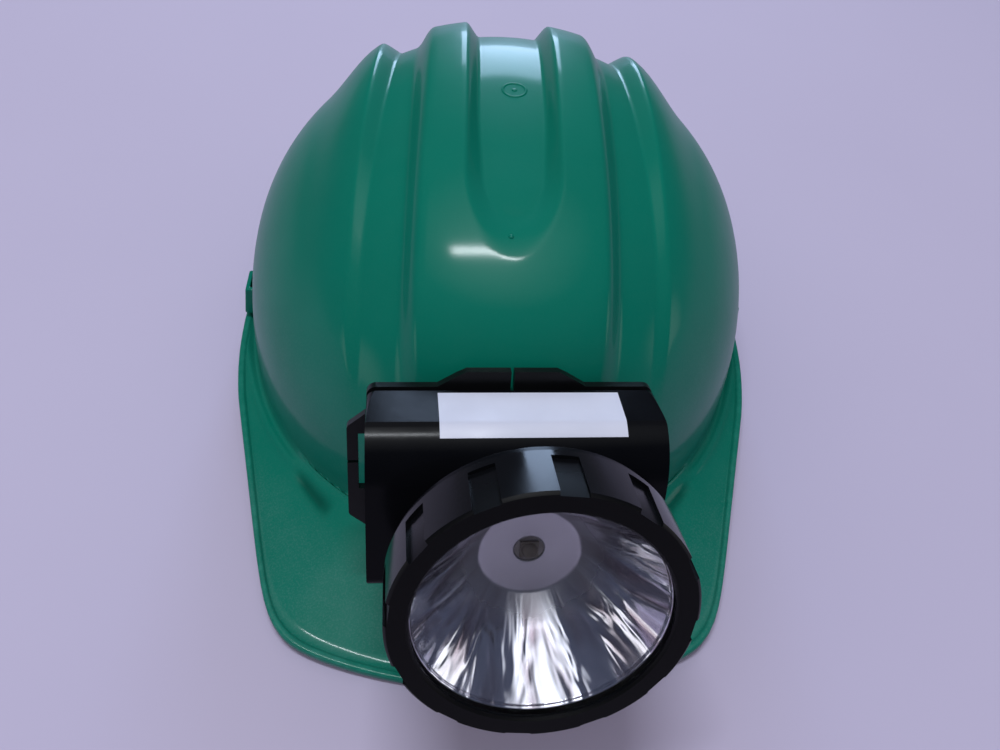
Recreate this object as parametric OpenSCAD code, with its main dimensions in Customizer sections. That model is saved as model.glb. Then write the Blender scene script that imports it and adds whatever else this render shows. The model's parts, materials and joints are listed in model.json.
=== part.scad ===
// Hard hat with a rechargeable cap lamp bonded to its front.
// Millimetres, +Z up, the front faces -Y.
// The origin is the centre of the head opening, level with the rim's feet.

/* [Shell] */
// Half width of the dome at its foot
shell_half_w = 103; // [98:1:110]
// Distance from the origin to the dome's front foot
shell_front = 121; // [116:1:128]
// Distance from the origin to the dome's rear foot
shell_rear = 109; // [104:1:120]
// Height of the trough floor at the crown
crown_z = 123.5; // [118:0.5:134]
// Fullness of the dome, 2 is an ellipse and more is boxier
profile_n = 2.45; // [2.3:0.05:2.7]
// Height of the dome's foot at the sides and back
foot_z = 14; // [11:1:18]
// Extra height of the dome's foot at the front
foot_rise = 8; // [2:1:10]
// Thickness of the shell
shell_t = 2.5; // [2:0.1:3.2]

/* [Ridges] */
// Half width of the trough between the two crown ridges
trough_half_w = 12; // [9:0.5:14]
// Width of each wall of the trough
trough_wall = 3.5; // [2:0.5:5]
// Distance from the crown to the front end of the trough
trough_len = 66; // [50:1:74]
// Where the crown ridges start to fall away, from the middle plane
ridge_edge = 28; // [24:0.5:32]
// Where the crown ridges meet the dome, from the middle plane
ridge_foot = 37; // [34:0.5:42]
// Height of the crown ridges
ridge_h = 6.2; // [3:0.2:7]
// Foot of the step up to each shoulder, from the middle plane
step_in = 46; // [44:0.5:50]
// Width of that step
step_w = 4; // [3:0.5:6]
// How far each step draws in towards the back, over the length draw_span
step_draw = 6; // [0:0.5:8]
// Where the shoulders run out into the dome, from the middle plane
shoulder_foot = 72; // [64:1:80]
// Height of the shoulders at the front
shoulder_front_h = 1.4; // [0.6:0.2:3]
// Height of the shoulders at the back
shoulder_rear_h = 6.4; // [3:0.2:7]

/* [Brim] */
// Width of the lip along the sides
side_lip = 5.8; // [5:0.2:9]
// Width of the lip at the back
rear_lip = 8; // [5:0.5:14]
// Distance from the origin to the front of the peak
peak_reach = 168; // [159:1:177]
// Radius of the peak's front edge, seen from above
peak_front_r = 200; // [180:5:260]
// Half width of the peak where its straight sides would meet the middle of the dome
peak_root_w = 118; // [115:1:123]
// Angle at which the peak's sides draw in
peak_taper = 14; // [8:1:20]
// Height of the arch in the rim at each side
rim_arch = 12; // [6:1:12]
// Width of the raised border along the rim
border_w = 3.5; // [2:0.5:4.5]
// Height of the rim's edge, border included
border_h = 3.8; // [3:0.2:5]
// Thickness of the brim beside its border
brim_t = 2.6; // [2:0.2:2.9]

/* [Harness] */
// Gap between the headband and the shell at each side
band_gap_side = 19; // [15:0.5:23]
// Gap between the headband and the nearer end of the shell
band_gap_end = 9; // [7:0.5:14]
// Height of the headband's lower edge above the rim's feet
band_z = 14; // [8:1:18]
// Depth of the headband
band_h = 30; // [26:1:36]
// Thickness of the headband
band_t = 1.5; // [1:0.1:2.5]
// Width of the crown straps
strap_w = 20; // [14:1:24]
// Thickness of the crown straps
strap_t = 1.2; // [0.8:0.1:2]
// Height of the lower crown strap at the crown
strap_crown_z = 94; // [84:1:98]
// Angle between each crown strap and the middle plane
strap_angle = 50; // [40:1:58]
// Width of a suspension key
key_w = 16; // [10:1:22]
// Height of a suspension key
key_h = 9; // [5:1:12]
// Height of the suspension keys' lower face
key_z = 27; // [24:1:30]
// Thickness of the sweatband
sweat_t = 3; // [2:0.5:5]
// Half angle that the sweatband covers at the front
sweat_span = 70; // [50:1:85]
// Depth of the nape strap
nape_h = 20; // [14:1:24]
// Thickness of the nape strap
nape_t = 1.2; // [0.8:0.1:2]
// Half angle that the nape strap covers at the back
nape_span = 32; // [20:1:36]
// Radius of a nape pin's shank
nape_pin_r = 2; // [1.5:0.1:3]

/* [Lamp seat] */
// Height of the back plate's middle
seat_z = 63.5; // [60:0.5:67]
// Angle that the lamp leans back from upright
seat_tilt = 23; // [21:0.5:27]
// Angle that the lamp is turned towards the wearer's left on its pad
seat_turn = 4; // [0:0.5:6]
// Thickness of the bonded pad where the shell comes closest
pad_t = 2.9; // [1:0.1:4]
// Half width of the bonded pad
pad_half_w = 32; // [20:1:40]
// Height of the pad above the plate's middle
pad_up = 26; // [16:1:29]
// Depth of the pad below the plate's middle
pad_down = 17; // [14:1:19]

/* [Back plate] */
// Thickness of the back plate
plate_t = 3; // [2.5:0.1:4]
// Distance that a side strap loop stands out of the case
loop_out = 6.2; // [5.4:0.1:9]
// Upper end of a side strap loop above the plate's middle
loop_top = 25.5; // [23:0.5:30]
// Lower end of a side strap loop below the plate's middle
loop_bottom = 12.5; // [9:0.5:18]
// Width of a strap slot
slot_w = 2.8; // [2:0.1:3.2]
// Upper end of a side slot above the plate's middle
slot_top = 18; // [14:0.5:20]
// Lower end of a side slot below the plate's middle
slot_bottom = 2.5; // [1:0.5:6]
// Width of the slit that lets a strap into its loop
slit_w = 1; // [0.5:0.1:1.5]
// Height of the top strap bar above the case
tab_h = 5; // [3:0.5:8]
// Half width of the top strap bar at its foot
tab_foot = 24.5; // [20:0.5:30]
// Half width of the top strap bar at its tip
tab_tip = 15.5; // [14.5:0.5:19]

/* [Case] */
// Room between the cell holder and the charging socket
case_room = 4; // [2:0.1:12]
// Top of the case above the plate's middle
case_top = 34.5; // [33.5:0.5:38]
// Bottom of the case below the plate's middle
case_bottom = 20.5; // [20:0.5:26]
// Front of the case from the back of the plate
case_front = 30; // [29:0.5:30.2]
// Wall of the case
case_wall = 2; // [1.6:0.1:2.4]
// Height of the crease in the case's top
crease_v = 32.5; // [32:0.1:33.2]
// Distance of the crease in front of the back of the plate
crease_w = 20; // [18.5:0.5:20.5]
// Radius of the case's shoulder, from the crease round to the front
shoulder_r = 19; // [17:0.5:21]
// Radius of the case's corners, seen from the front
corner_r = 3; // [2:0.5:5]
// Height of the strap channel behind the case's top
channel_h = 5.2; // [4.6:0.1:6]
// Depth of the strap channel
channel_d = 1.4; // [1.2:0.1:2.4]
// Thickness of the seal between the case and the back plate
seal_t = 0.8; // [0.5:0.1:1.2]
// Radius of a case screw's shank
screw_r = 1.3; // [1:0.1:1.6]
// Radius of a case screw's head
screw_head_r = 2.5; // [2:0.1:2.9]
// Length of a case screw's shank
screw_len = 9; // [7:0.5:12]
// Width of the blank sticker
label_w = 55; // [30:1:60]
// Distance of the sticker's middle to the right
label_x = 4.5; // [-8:0.5:8]
// Thickness of the sticker
label_t = 0.25; // [0.2:0.05:0.5]

/* [Power] */
// Radius of the cell
cell_r = 9.2; // [8.5:0.1:9.4]
// Length of the cell
cell_len = 65; // [60:0.5:66]
// Height of the cell's middle above the case's bottom
cell_rise = 19; // [18:0.1:20]
// Thickness of the holder's floor and end walls
holder_t = 1.6; // [1.2:0.1:2]
// Thickness of a contact plate
contact_t = 0.6; // [0.4:0.1:1]
// Thickness of the control board
board_t = 1.6; // [1:0.1:2]
// Length of the control board
board_len = 58; // [40:1:66]
// Height of the control board across the case
board_h = 12; // [10:0.5:14]
// Radius of the switch button
button_r = 4; // [3:0.1:5]
// Travel of the switch button
button_travel = 1.2; // [0.8:0.1:1.6]
// Height of the switch above the plate's middle
switch_v = 12; // [10.5:0.5:14]
// Bore radius of the charging socket
socket_bore_r = 1.75; // [1.2:0.05:2.2]
// Depth of the charging socket's bore
socket_depth = 11; // [8:0.5:11.4]
// Outer radius of the charging socket
socket_r = 4; // [3:0.1:4.4]
// Height of the charging socket above the case's bottom
socket_rise = 13; // [12.6:0.1:15]
// Thickness of the socket's cover
cover_t = 1.8; // [1.2:0.1:2.4]
// Radius of the cover's hinge pin
cover_pin_r = 0.8; // [0.6:0.05:1]

/* [Lamp head] */
// Distance of the lamp head's axis to the right of the case's middle
head_x = 3; // [-6:0.5:8]
// Outer radius of the bezel ring
bezel_r = 42; // [40.8:0.1:43]
// Front of the bezel ring from the back of the plate
bezel_front = 68.5; // [68.5:0.5:74]
// Depth of the bezel ring
bezel_d = 19.5; // [16:0.5:20]
// Radius of the bezel's opening
aperture_r = 35.3; // [32:0.1:35.4]
// Thickness of the bezel's front lip
bezel_lip = 1.8; // [1.5:0.1:3]
// Number of grip notches around the bezel
notch_count = 12; // [8:1:16]
// Width of a grip notch
notch_w = 7.5; // [4:0.5:9]
// Depth of a grip notch
notch_d = 1.2; // [0.6:0.1:1.4]
// Turn of the first notch to the right of the top
notch_turn = 6; // [0:1:14]
// Outer radius of the housing's collar, inside the bezel
collar_r = 38.1; // [37.6:0.1:38.3]
// Wall of the lamp housing
housing_wall = 2; // [1.6:0.1:2.6]
// Radius of the housing's back
housing_back_r = 19; // [17:0.5:20]
// Thickness of the lens
lens_t = 1.6; // [1.3:0.1:2.4]
// Thickness of the lens gasket
gasket_t = 1.1; // [0.9:0.1:1.8]
// Thickness of the reflector
reflector_t = 1.2; // [0.8:0.1:1.6]
// Radius of the reflector's hole for the lamp chip
reflector_hole_r = 4.4; // [4:0.1:5]
// Radius of the reflector's nearly flat middle
bowl_floor_r = 15; // [12:0.5:18]
// Distance of the lamp chip's board behind the bezel's front
led_depth = 33; // [32:0.5:34]
// Radius of the lamp chip's board
led_board_r = 10; // [8:0.5:12]
// Thickness of the lamp chip's board
led_board_t = 1.6; // [1:0.1:2]
// Radius of the lamp chip's dome
led_dome_r = 2.4; // [1.6:0.1:2.8]
// Radius of a lead's insulation
lead_r = 0.7; // [0.5:0.05:0.9]
// Height of the tilt hinge below the plate's middle
hinge_v = -33; // [-33.5:0.5:-32]
// Distance of the tilt hinge from the back of the plate
hinge_w = 36; // [35.5:0.5:37]
// Radius of the hinge pin
hinge_pin_r = 1.5; // [1.2:0.1:2]
// Radius of the hinge knuckles
knuckle_r = 4; // [3.4:0.1:4.4]
// Half width of the lamp head's knuckle
knuckle_half_w = 7.5; // [5:0.5:9]
// Width of each hinge ear on the case
ear_w = 5; // [4:0.5:7]

/* [Clearances] */
// Radial clearance of a pin or collar that turns
run_fit = 0.05; // [0.02:0.01:0.08]
// Gap between neighbouring pieces that are assembled
seat_gap = 0.1; // [0.05:0.05:0.2]
// Gap between pieces that move past each other
move_gap = 0.3; // [0.2:0.05:0.4]

/* [Hidden] */
$fn = 96;
// How far a cut starts before a face, and goes past it
over = 1;

shell_green = [0.08, 0.39, 0.34];
case_black = [0.08, 0.09, 0.10];
webbing_grey = [0.32, 0.33, 0.34];

// General helpers

// Smooth step from 0 at a to 1 at b
function ramp(a, b, t) = let (s = min(1, max(0, (t - a) / (b - a)))) s * s * (3 - 2 * s);
// Points on an arc, in order
function arc(c, r, a0, a1, steps) = [for (i = [0:steps]) let (a = a0 + (a1 - a0) * i / steps)
    c + r * [cos(a), sin(a)]];
// Radius of an ellipse in a given direction, with t measured from the half width
function ellipse_r(half_w, half_len, t) = 1 / sqrt(pow(cos(t) / half_w, 2) + pow(sin(t) / half_len, 2));
// The two triangles of a four-cornered face
function quad(a, b, c, d) = [[a, b, c], [a, c, d]];

// A block with rounded upright edges, from one corner to the other
module rounded_block(low, high, r) {
    size = high - low;
    translate([low[0] + r, low[1], low[2]]) cube([size[0] - 2 * r, size[1], size[2]]);
    translate([low[0], low[1] + r, low[2]]) cube([size[0], size[1] - 2 * r, size[2]]);
    for (x = [low[0] + r, high[0] - r], y = [low[1] + r, high[1] - r])
        translate([x, y, low[2]]) cylinder(r = r, h = size[2]);
}
// A profile drawn as [height, distance], drawn out along X
module along_x(from, to, points) {
    translate([from, 0, 0]) rotate([90, 0, 90]) linear_extrude(to - from) polygon(points);
}
// A cylinder along X
module bar_x(from, to, y, z, r) {
    translate([from, y, z]) rotate([0, 90, 0]) cylinder(r = r, h = to - from);
}
// The lamp's own frame: X across, Y up the plate, Z out of the plate's back face
module on_seat() {
    translate([0, -seat_front, seat_z]) rotate([90 - seat_tilt, 0, 0]) rotate([0, seat_turn, 0]) children();
}

// Shell surface

crown_fade = [0.48, 0.84];
shoulder_fade = [0.40, 0.68];
shoulder_grow = [-70, 60];
draw_span = 100;
draw_past = 8;
trough_power = 6;
trough_rise = 14;
trough_past = 6;

function foot_height(y) = foot_z + foot_rise * pow(max(0, -y / shell_front), 2);
function plan_depth(y) = y < 0 ? shell_front : shell_rear;
function plan_reach(x, y) = sqrt(pow(x / shell_half_w, 2) + pow(y / plan_depth(y), 2));
function dome_rise(x, y) = pow(max(0, 1 - pow(plan_reach(x, y), profile_n)), 1 / profile_n);
function dome_z(x, y) = foot_height(y) + (crown_z - foot_height(y)) * dome_rise(x, y);
function dome_gradient(x, y, h) = let (r = pow(plan_reach(x, y), profile_n - 2))
    [r * x / pow(shell_half_w, 2), r * y / pow(plan_depth(y), 2),
        pow(max(0, h), profile_n - 1) / (crown_z - foot_height(y))];
// How far the ridges and shoulders stand out of the dome, with h from 0 at the foot to 1 at the crown
step_out = step_in + step_w;
function trough_reach(y) = trough_half_w * (1 - pow(max(0, -y) / trough_len, trough_power));
function shoulder_h(y) = shoulder_front_h
    + (shoulder_rear_h - shoulder_front_h) * ramp(shoulder_grow[0], shoulder_grow[1], y);
function relief(u, y, h) = let (
        far = abs(u),
        ridge = (1 - ramp(ridge_edge, ridge_foot, far)) * ramp(crown_fade[0], crown_fade[1], h),
        trough = (1 - ramp(trough_reach(y), trough_reach(y) + trough_wall, far))
            * (1 - ramp(trough_len - trough_rise, trough_len + trough_past, -y)),
        shoulder = ramp(step_in, step_out, far) * (1 - ramp(step_out, shoulder_foot, far))
            * ramp(shoulder_fade[0], shoulder_fade[1], h))
    ridge_h * ridge * (1 - trough) + shoulder_h(y) * shoulder;

// Columns of the shell's grid follow the ridges and the steps, and rows run from front foot to rear foot

shell_rows = 40;
side_columns = 12;
side_cut = 0.996;
step_parts = 3;
side_start = asin(step_out / shell_half_w);
side_end = asin(side_cut);
half_columns = concat(
    [for (f = [0.3, 0.6, 0.85, 1]) f * trough_half_w],
    [trough_half_w + trough_wall / 2, trough_half_w + trough_wall,
        (trough_half_w + trough_wall + ridge_edge) / 2],
    [for (i = [0:4]) ridge_edge + (ridge_foot - ridge_edge) * i / 4],
    [(ridge_foot + step_in) / 2, for (i = [0:step_parts]) step_in + step_w * i / step_parts],
    [for (i = [1:side_columns])
        shell_half_w * sin(side_start + (side_end - side_start) * i / side_columns)]);
half_count = len(half_columns);
column_x = concat([for (i = [half_count - 1:-1:0]) -half_columns[i]], [0], half_columns);
columns = len(column_x);
function row_y(x, j) = let (a = 180 * j / shell_rows, reach = sqrt(1 - pow(x / shell_half_w, 2)))
    -(a < 90 ? shell_front : shell_rear) * reach * cos(a);
function draw_share(u) = ramp(ridge_foot, step_in, abs(u))
    * (1 - ramp(step_out, shoulder_foot + draw_past, abs(u)));
function drawn_x(u, j) =
    u - sign(u) * step_draw * draw_share(u) * sin(180 * j / shell_rows) * row_y(u, j) / draw_span;
function shell_point(u, j) = let (
        x = drawn_x(u, j),
        y = row_y(u, j),
        h = dome_rise(x, y),
        out = dome_gradient(x, y, h))
    [x, y, dome_z(x, y)] + relief(u, y, h) * out / norm(out);
function grid_id(i, j) = i * (shell_rows + 1) + j;
dome_points = [for (u = column_x, j = [0:shell_rows]) shell_point(u, j)];

// The foot loop runs along the front, up the right side, along the back and down the left side

function foot_point(x, j) = [x, row_y(x, j), foot_height(row_y(x, j))];
foot_loop = concat(
    [for (i = [0:columns - 1]) foot_point(column_x[i], 0)],
    [for (j = [1:shell_rows - 1]) foot_point(column_x[columns - 1], j)],
    [for (i = [columns - 1:-1:0]) foot_point(column_x[i], shell_rows)],
    [for (j = [shell_rows - 1:-1:1]) foot_point(column_x[0], j)]);
loop_count = len(foot_loop);

// The rim's outline is a soft minimum of the peak's side line and its front arc

peak_corner_power = 24;
peak_fade = [4, 28];
rear_fade = [20, 80];
function peak_side(t) = peak_root_w / (cos(t) + tan(peak_taper) * sin(t));
function peak_front(t) = let (c = (peak_front_r - peak_reach) * sin(t))
    -c + sqrt(c * c + pow(peak_front_r, 2) - pow(peak_front_r - peak_reach, 2));
function peak_edge(t) = let (p = peak_corner_power)
    pow(pow(peak_side(t), -p) + pow(peak_front(t), -p), -1 / p);
// Turn of a foot point towards the front, from 0 at the side to 90 at the front
function turn(p) = atan2(-p[1], abs(p[0]));
function rim_reach(p) = let (
        t = turn(p),
        own = norm([p[0], p[1]]),
        lip = own + side_lip + (rear_lip - side_lip) * ramp(rear_fade[0], rear_fade[1], -t))
    t <= peak_fade[0] ? lip : lip + max(0, peak_edge(t) - lip) * ramp(peak_fade[0], peak_fade[1], t);
function rim_z(p) = rim_arch * pow(cos(turn(p)), 2);
// A point on the brim, at a distance in from its edge and a height above the rim's underside
function brim_point(p, inset, up) = let (own = norm([p[0], p[1]]), k = (rim_reach(p) - inset) / own)
    [p[0] * k, p[1] * k, rim_z(p) + up];
brim_dip = 0.4;
border_flank = 0.7;
edge_draft = 0.4;
function brim_middle(p) = let (a = brim_point(p, border_w, brim_t)) (p + a) / 2 - [0, 0, brim_dip];

brim_rings = [
    [for (p = foot_loop) p],
    [for (p = foot_loop) brim_middle(p)],
    [for (p = foot_loop) brim_point(p, border_w, brim_t)],
    [for (p = foot_loop) brim_point(p, border_w * border_flank, border_h)],
    [for (p = foot_loop) brim_point(p, edge_draft, border_h)],
    [for (p = foot_loop) brim_point(p, 0, 0)]];

// The inner skin is a plain dome with half of the foot loop's points

skin_turns = [0, 8, 17, 28, 40, 53, 66, 79];
skin_step = 2;
skin_count = loop_count / skin_step;
function skin_foot(y) = foot_height(y) - shell_t;
function skin_point(p, a) = let (
        x = p[0] * cos(a) * (shell_half_w - shell_t) / shell_half_w,
        y = p[1] * cos(a) * (plan_depth(p[1]) - shell_t) / plan_depth(p[1]),
        rise = pow(1 - pow(cos(a), profile_n), 1 / profile_n))
    [x, y, skin_foot(y) + (crown_z - shell_t - skin_foot(y)) * rise];
skin_points = [for (a = skin_turns, m = [0:skin_count - 1]) skin_point(foot_loop[m * skin_step], a)];

dome_count = len(dome_points);
brim_start = dome_count;
skin_start = brim_start + loop_count * len(brim_rings);
pole = skin_start + len(skin_points);
shell_points = concat(dome_points, [for (r = brim_rings, p = r) p], skin_points,
    [[0, 0, crown_z - shell_t]]);

function brim_id(r, k) = brim_start + r * loop_count + (k + loop_count) % loop_count;
function skin_id(r, m) = skin_start + r * skin_count + (m + skin_count) % skin_count;
// The foot loop and the ends of the dome's columns are the same points, so the loop's ids stand for both
function edge_id(i, j) = j == 0 ? brim_id(0, i)
    : j == shell_rows ? brim_id(0, columns + shell_rows - 1 + (columns - 1 - i)) : grid_id(i, j);
function right_id(j) = brim_id(0, columns - 1 + j);
function left_id(j) = brim_id(0, loop_count - j);
dome_faces = [for (i = [0:columns - 2], j = [0:shell_rows - 1])
    each quad(edge_id(i, j), edge_id(i, j + 1), edge_id(i + 1, j + 1), edge_id(i + 1, j))];
right_faces = [for (j = [0:shell_rows - 1]) each (
    j == 0 ? [[edge_id(columns - 1, 0), edge_id(columns - 1, 1), right_id(1)]]
    : j == shell_rows - 1 ? [[edge_id(columns - 1, j), right_id(j + 1), right_id(j)]]
    : quad(edge_id(columns - 1, j), edge_id(columns - 1, j + 1), right_id(j + 1), right_id(j)))];
left_faces = [for (j = [0:shell_rows - 1]) each (
    j == 0 ? [[edge_id(0, 0), left_id(1), edge_id(0, 1)]]
    : j == shell_rows - 1 ? [[edge_id(0, j), left_id(j), edge_id(0, shell_rows)]]
    : quad(edge_id(0, j), left_id(j), left_id(j + 1), edge_id(0, j + 1)))];
brim_faces = [for (r = [0:len(brim_rings) - 2], k = [0:loop_count - 1])
    each quad(brim_id(r, k), brim_id(r, k + 1), brim_id(r + 1, k + 1), brim_id(r + 1, k))];
under_faces = [for (m = [0:skin_count - 1]) each concat(
    [for (s = [0:skin_step - 1]) [brim_id(len(brim_rings) - 1, m * skin_step + s),
        brim_id(len(brim_rings) - 1, m * skin_step + s + 1), skin_id(0, m)]],
    [[brim_id(len(brim_rings) - 1, (m + 1) * skin_step), skin_id(0, m + 1), skin_id(0, m)]])];
skin_faces = [for (r = [0:len(skin_turns) - 2], m = [0:skin_count - 1])
    each quad(skin_id(r, m), skin_id(r, m + 1), skin_id(r + 1, m + 1), skin_id(r + 1, m))];
pole_faces = [for (m = [0:skin_count - 1]) [skin_id(len(skin_turns) - 1, m),
    skin_id(len(skin_turns) - 1, m + 1), pole]];

module helmet_shell() {
    color(shell_green)
        polyhedron(shell_points, concat(dome_faces, right_faces, left_faces, brim_faces,
            under_faces, skin_faces, pole_faces));
}

// Harness

band_half_w = shell_half_w - shell_t - band_gap_side - band_t;
band_half_len = min(shell_front, shell_rear) - shell_t - band_gap_end - band_t;
band_steps = 72;
band_turn = 360 - 360 / band_steps;
// A closed or open strip between two ellipses, over a range of directions from +X
function band_path(half_w, half_len, a0, a1, steps) = [for (i = [0:steps])
    let (a = a0 + (a1 - a0) * i / steps, r = ellipse_r(half_w, half_len, a)) [r * cos(a), r * sin(a)]];
module band_segment(half_w, half_len, t, a0, a1, z0, h) {
    steps = ceil(band_steps * (a1 - a0) / 360);
    inner = band_path(half_w, half_len, a0, a1, steps);
    outer = band_path(half_w + t, half_len + t, a1, a0, steps);
    translate([0, 0, z0]) linear_extrude(h) polygon(concat(inner, outer));
}
band_mid_z = band_z + band_h / 2;
nape_half_w = band_half_w + band_t + move_gap;
nape_half_len = band_half_len + band_t + move_gap;
nape_pin_x = 18;
nape_pin_head_r = nape_pin_r + 1.5;
nape_pin_head_t = 1.2;
module at_nape_pins() {
    for (side = [-1, 1])
        translate([side * nape_pin_x, 0, band_mid_z]) rotate([-90, 0, 0]) children();
}
nape_pin_y = nape_half_len * sqrt(1 - pow((nape_pin_x + nape_pin_head_r) / nape_half_w, 2));
module nape_holes() {
    at_nape_pins() cylinder(r = nape_pin_r + seat_gap, h = 2 * nape_half_len);
}

module headband() {
    color(webbing_grey) difference() {
        translate([0, 0, band_z]) linear_extrude(band_h) polygon(
            concat(band_path(band_half_w + band_t, band_half_len + band_t, 0, band_turn, band_steps - 1),
                band_path(band_half_w, band_half_len, 0, band_turn, band_steps - 1)),
            [[for (i = [0:band_steps - 1]) i], [for (i = [0:band_steps - 1]) band_steps + i]]);
        nape_holes();
    }
}
module sweatband() {
    color([0.12, 0.12, 0.12]) band_segment(band_half_w - sweat_t - seat_gap,
        band_half_len - sweat_t - seat_gap, sweat_t, 270 - sweat_span, 270 + sweat_span, band_z, band_h);
}
module nape_strap() {
    color(webbing_grey) difference() {
        band_segment(nape_half_w, nape_half_len, nape_t, 90 - nape_span, 90 + nape_span,
            band_mid_z - nape_h / 2, nape_h);
        nape_holes();
    }
}
// The strap's outer face under the edge of a pin's head that lies nearest the middle
nape_face_y = (nape_half_len + nape_t)
    * sqrt(1 - pow((nape_pin_x - nape_pin_head_r) / (nape_half_w + nape_t), 2));
nape_head_y = nape_face_y + seat_gap;
module nape_pins() {
    color([0.2, 0.2, 0.2]) at_nape_pins() {
        translate([0, 0, nape_pin_y - band_t - move_gap])
            cylinder(r = nape_pin_r, h = nape_head_y + nape_pin_head_t - nape_pin_y + band_t + move_gap);
        translate([0, 0, nape_head_y]) cylinder(r = nape_pin_head_r, h = nape_pin_head_t);
    }
}

// Crown straps run up from the keys on a full curve and cross under the crown
key_top = key_z + key_h;
strap_curve_n = 2.6;
strap_steps = 30;
// Inside radius of the shell in a direction, at a height; front is -1 for the front half and 1 for the rear
function skin_r(t, front, z) = let (
        depth = front < 0 ? shell_front : shell_rear,
        edge = ellipse_r(shell_half_w - shell_t, depth - shell_t, t),
        foot = skin_foot(front * depth),
        h = max(0, (z - foot) / (crown_z - shell_t - foot)))
    edge * pow(1 - pow(h, profile_n), 1 / profile_n);
key_turn = 90 - strap_angle;
key_spread = asin(key_w / 2 / (band_half_w + band_t));
key_in = max(ellipse_r(band_half_w + band_t, band_half_len + band_t, key_turn - key_spread),
    ellipse_r(band_half_w + band_t, band_half_len + band_t, key_turn + key_spread)) + seat_gap;
function key_out(front) = min(skin_r(key_turn - key_spread, front, key_top),
    skin_r(key_turn + key_spread, front, key_top)) * cos(key_spread) - move_gap - 2 * seat_gap;
function strap_r(front) = (key_in + key_out(front)) / 2;
function strap_arc(r_front, r_rear, top, t) = concat(
    [for (i = [0:strap_steps / 2]) let (a = 180 * i / strap_steps)
        [-(r_front + t) * pow(cos(a), 2 / strap_curve_n),
            key_top + seat_gap + (top + t - key_top - seat_gap) * pow(sin(a), 2 / strap_curve_n)]],
    [for (i = [strap_steps / 2 + 1:strap_steps]) let (a = 180 * i / strap_steps)
        [(r_rear + t) * pow(-cos(a), 2 / strap_curve_n),
            key_top + seat_gap + (top + t - key_top - seat_gap) * pow(max(0, sin(a)), 2 / strap_curve_n)]]);
function reversed(v) = [for (i = [len(v) - 1:-1:0]) v[i]];
module crown_strap(side, top) {
    front = strap_r(-1);
    rear = strap_r(1);
    color(webbing_grey) rotate([0, 0, side * strap_angle]) rotate([90, 0, 90])
        linear_extrude(strap_w, center = true)
            polygon(concat(strap_arc(front, rear, top, 0), reversed(strap_arc(front, rear, top, strap_t))));
}
module crown_strap_lower() {
    crown_strap(-1, strap_crown_z);
}
module crown_strap_upper() {
    crown_strap(1, strap_crown_z + strap_t + move_gap);
}
module suspension_keys() {
    color([0.15, 0.15, 0.16]) for (side = [-1, 1], front = [-1, 1])
        rotate([0, 0, front < 0 ? 270 + side * strap_angle : 90 + side * strap_angle])
            translate([key_in, -key_w / 2, key_z]) cube([key_out(front) - key_in, key_w, key_h]);
}

// Lamp seat: a pad whose back follows the shell

pad_columns = 12;
pad_rows = 10;
// A point of the seat's frame in the shell's frame, with the plate's middle at a distance in front
function seat_point(front, p) = let (
        c = cos(seat_tilt),
        s = sin(seat_tilt),
        x = p[0] * cos(seat_turn) + p[2] * sin(seat_turn),
        w = p[2] * cos(seat_turn) - p[0] * sin(seat_turn))
    [x, -front + p[1] * s - w * c, seat_z + p[1] * c + w * s];
// Signed distance of a point from the shell's outside, near its surface
function shell_gap(q) = let (
        h = (q[2] - foot_height(q[1])) / (crown_z - foot_height(q[1])),
        r = plan_reach(q[0], q[1]),
        level = pow(r, profile_n) + pow(max(0, h), profile_n) - 1,
        slope = profile_n * norm(dome_gradient(q[0], q[1], h)))
    level / slope - relief(q[0], q[1], min(1, max(0, h)));
// Distance from the seat's frame back to the shell, found by halving
function shell_w(front, x, v, low, high, left) = let (mid = (low + high) / 2)
    left == 0 ? mid
    : shell_gap(seat_point(front, [x, v, mid])) > move_gap ? shell_w(front, x, v, low, mid, left - 1)
    : shell_w(front, x, v, mid, high, left - 1);
pad_reach = 45;
halvings = 20;
// The plate stands as far forward as the pad is thick where the shell comes closest
probes = 16;
probe_w = [for (i = [0:probes]) let (v = -pad_down + (pad_down + case_top + tab_h) * i / probes)
    shell_w(shell_front, 0, v, -pad_reach, pad_reach, halvings)];
seat_front = shell_front + (max(probe_w) + pad_t) / cos(seat_tilt);
function pad_x(i) = -pad_half_w + 2 * pad_half_w * i / pad_columns;
function pad_v(j) = -pad_down + (pad_up + pad_down) * j / pad_rows;
function pad_id(side, i, j) = (side * (pad_columns + 1) + i) * (pad_rows + 1) + j;
pad_points = [for (side = [0, 1], i = [0:pad_columns], j = [0:pad_rows])
    [pad_x(i), pad_v(j),
        side == 0 ? -seat_gap : shell_w(seat_front, pad_x(i), pad_v(j), -pad_reach, 0, halvings)]];
pad_faces = concat(
    [for (i = [0:pad_columns - 1], j = [0:pad_rows - 1]) each concat(
        quad(pad_id(0, i, j), pad_id(0, i, j + 1), pad_id(0, i + 1, j + 1), pad_id(0, i + 1, j)),
        quad(pad_id(1, i, j), pad_id(1, i + 1, j), pad_id(1, i + 1, j + 1), pad_id(1, i, j + 1)))],
    [for (i = [0:pad_columns - 1]) each concat(
        quad(pad_id(0, i, 0), pad_id(0, i + 1, 0), pad_id(1, i + 1, 0), pad_id(1, i, 0)),
        quad(pad_id(0, i, pad_rows), pad_id(1, i, pad_rows),
            pad_id(1, i + 1, pad_rows), pad_id(0, i + 1, pad_rows)))],
    [for (j = [0:pad_rows - 1]) each concat(
        quad(pad_id(0, 0, j), pad_id(1, 0, j), pad_id(1, 0, j + 1), pad_id(0, 0, j + 1)),
        quad(pad_id(0, pad_columns, j), pad_id(0, pad_columns, j + 1),
            pad_id(1, pad_columns, j + 1), pad_id(1, pad_columns, j)))]);
module saddle_pad() {
    color([0.16, 0.16, 0.17]) on_seat() polyhedron(pad_points, pad_faces);
}

// Back plate and case

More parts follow.
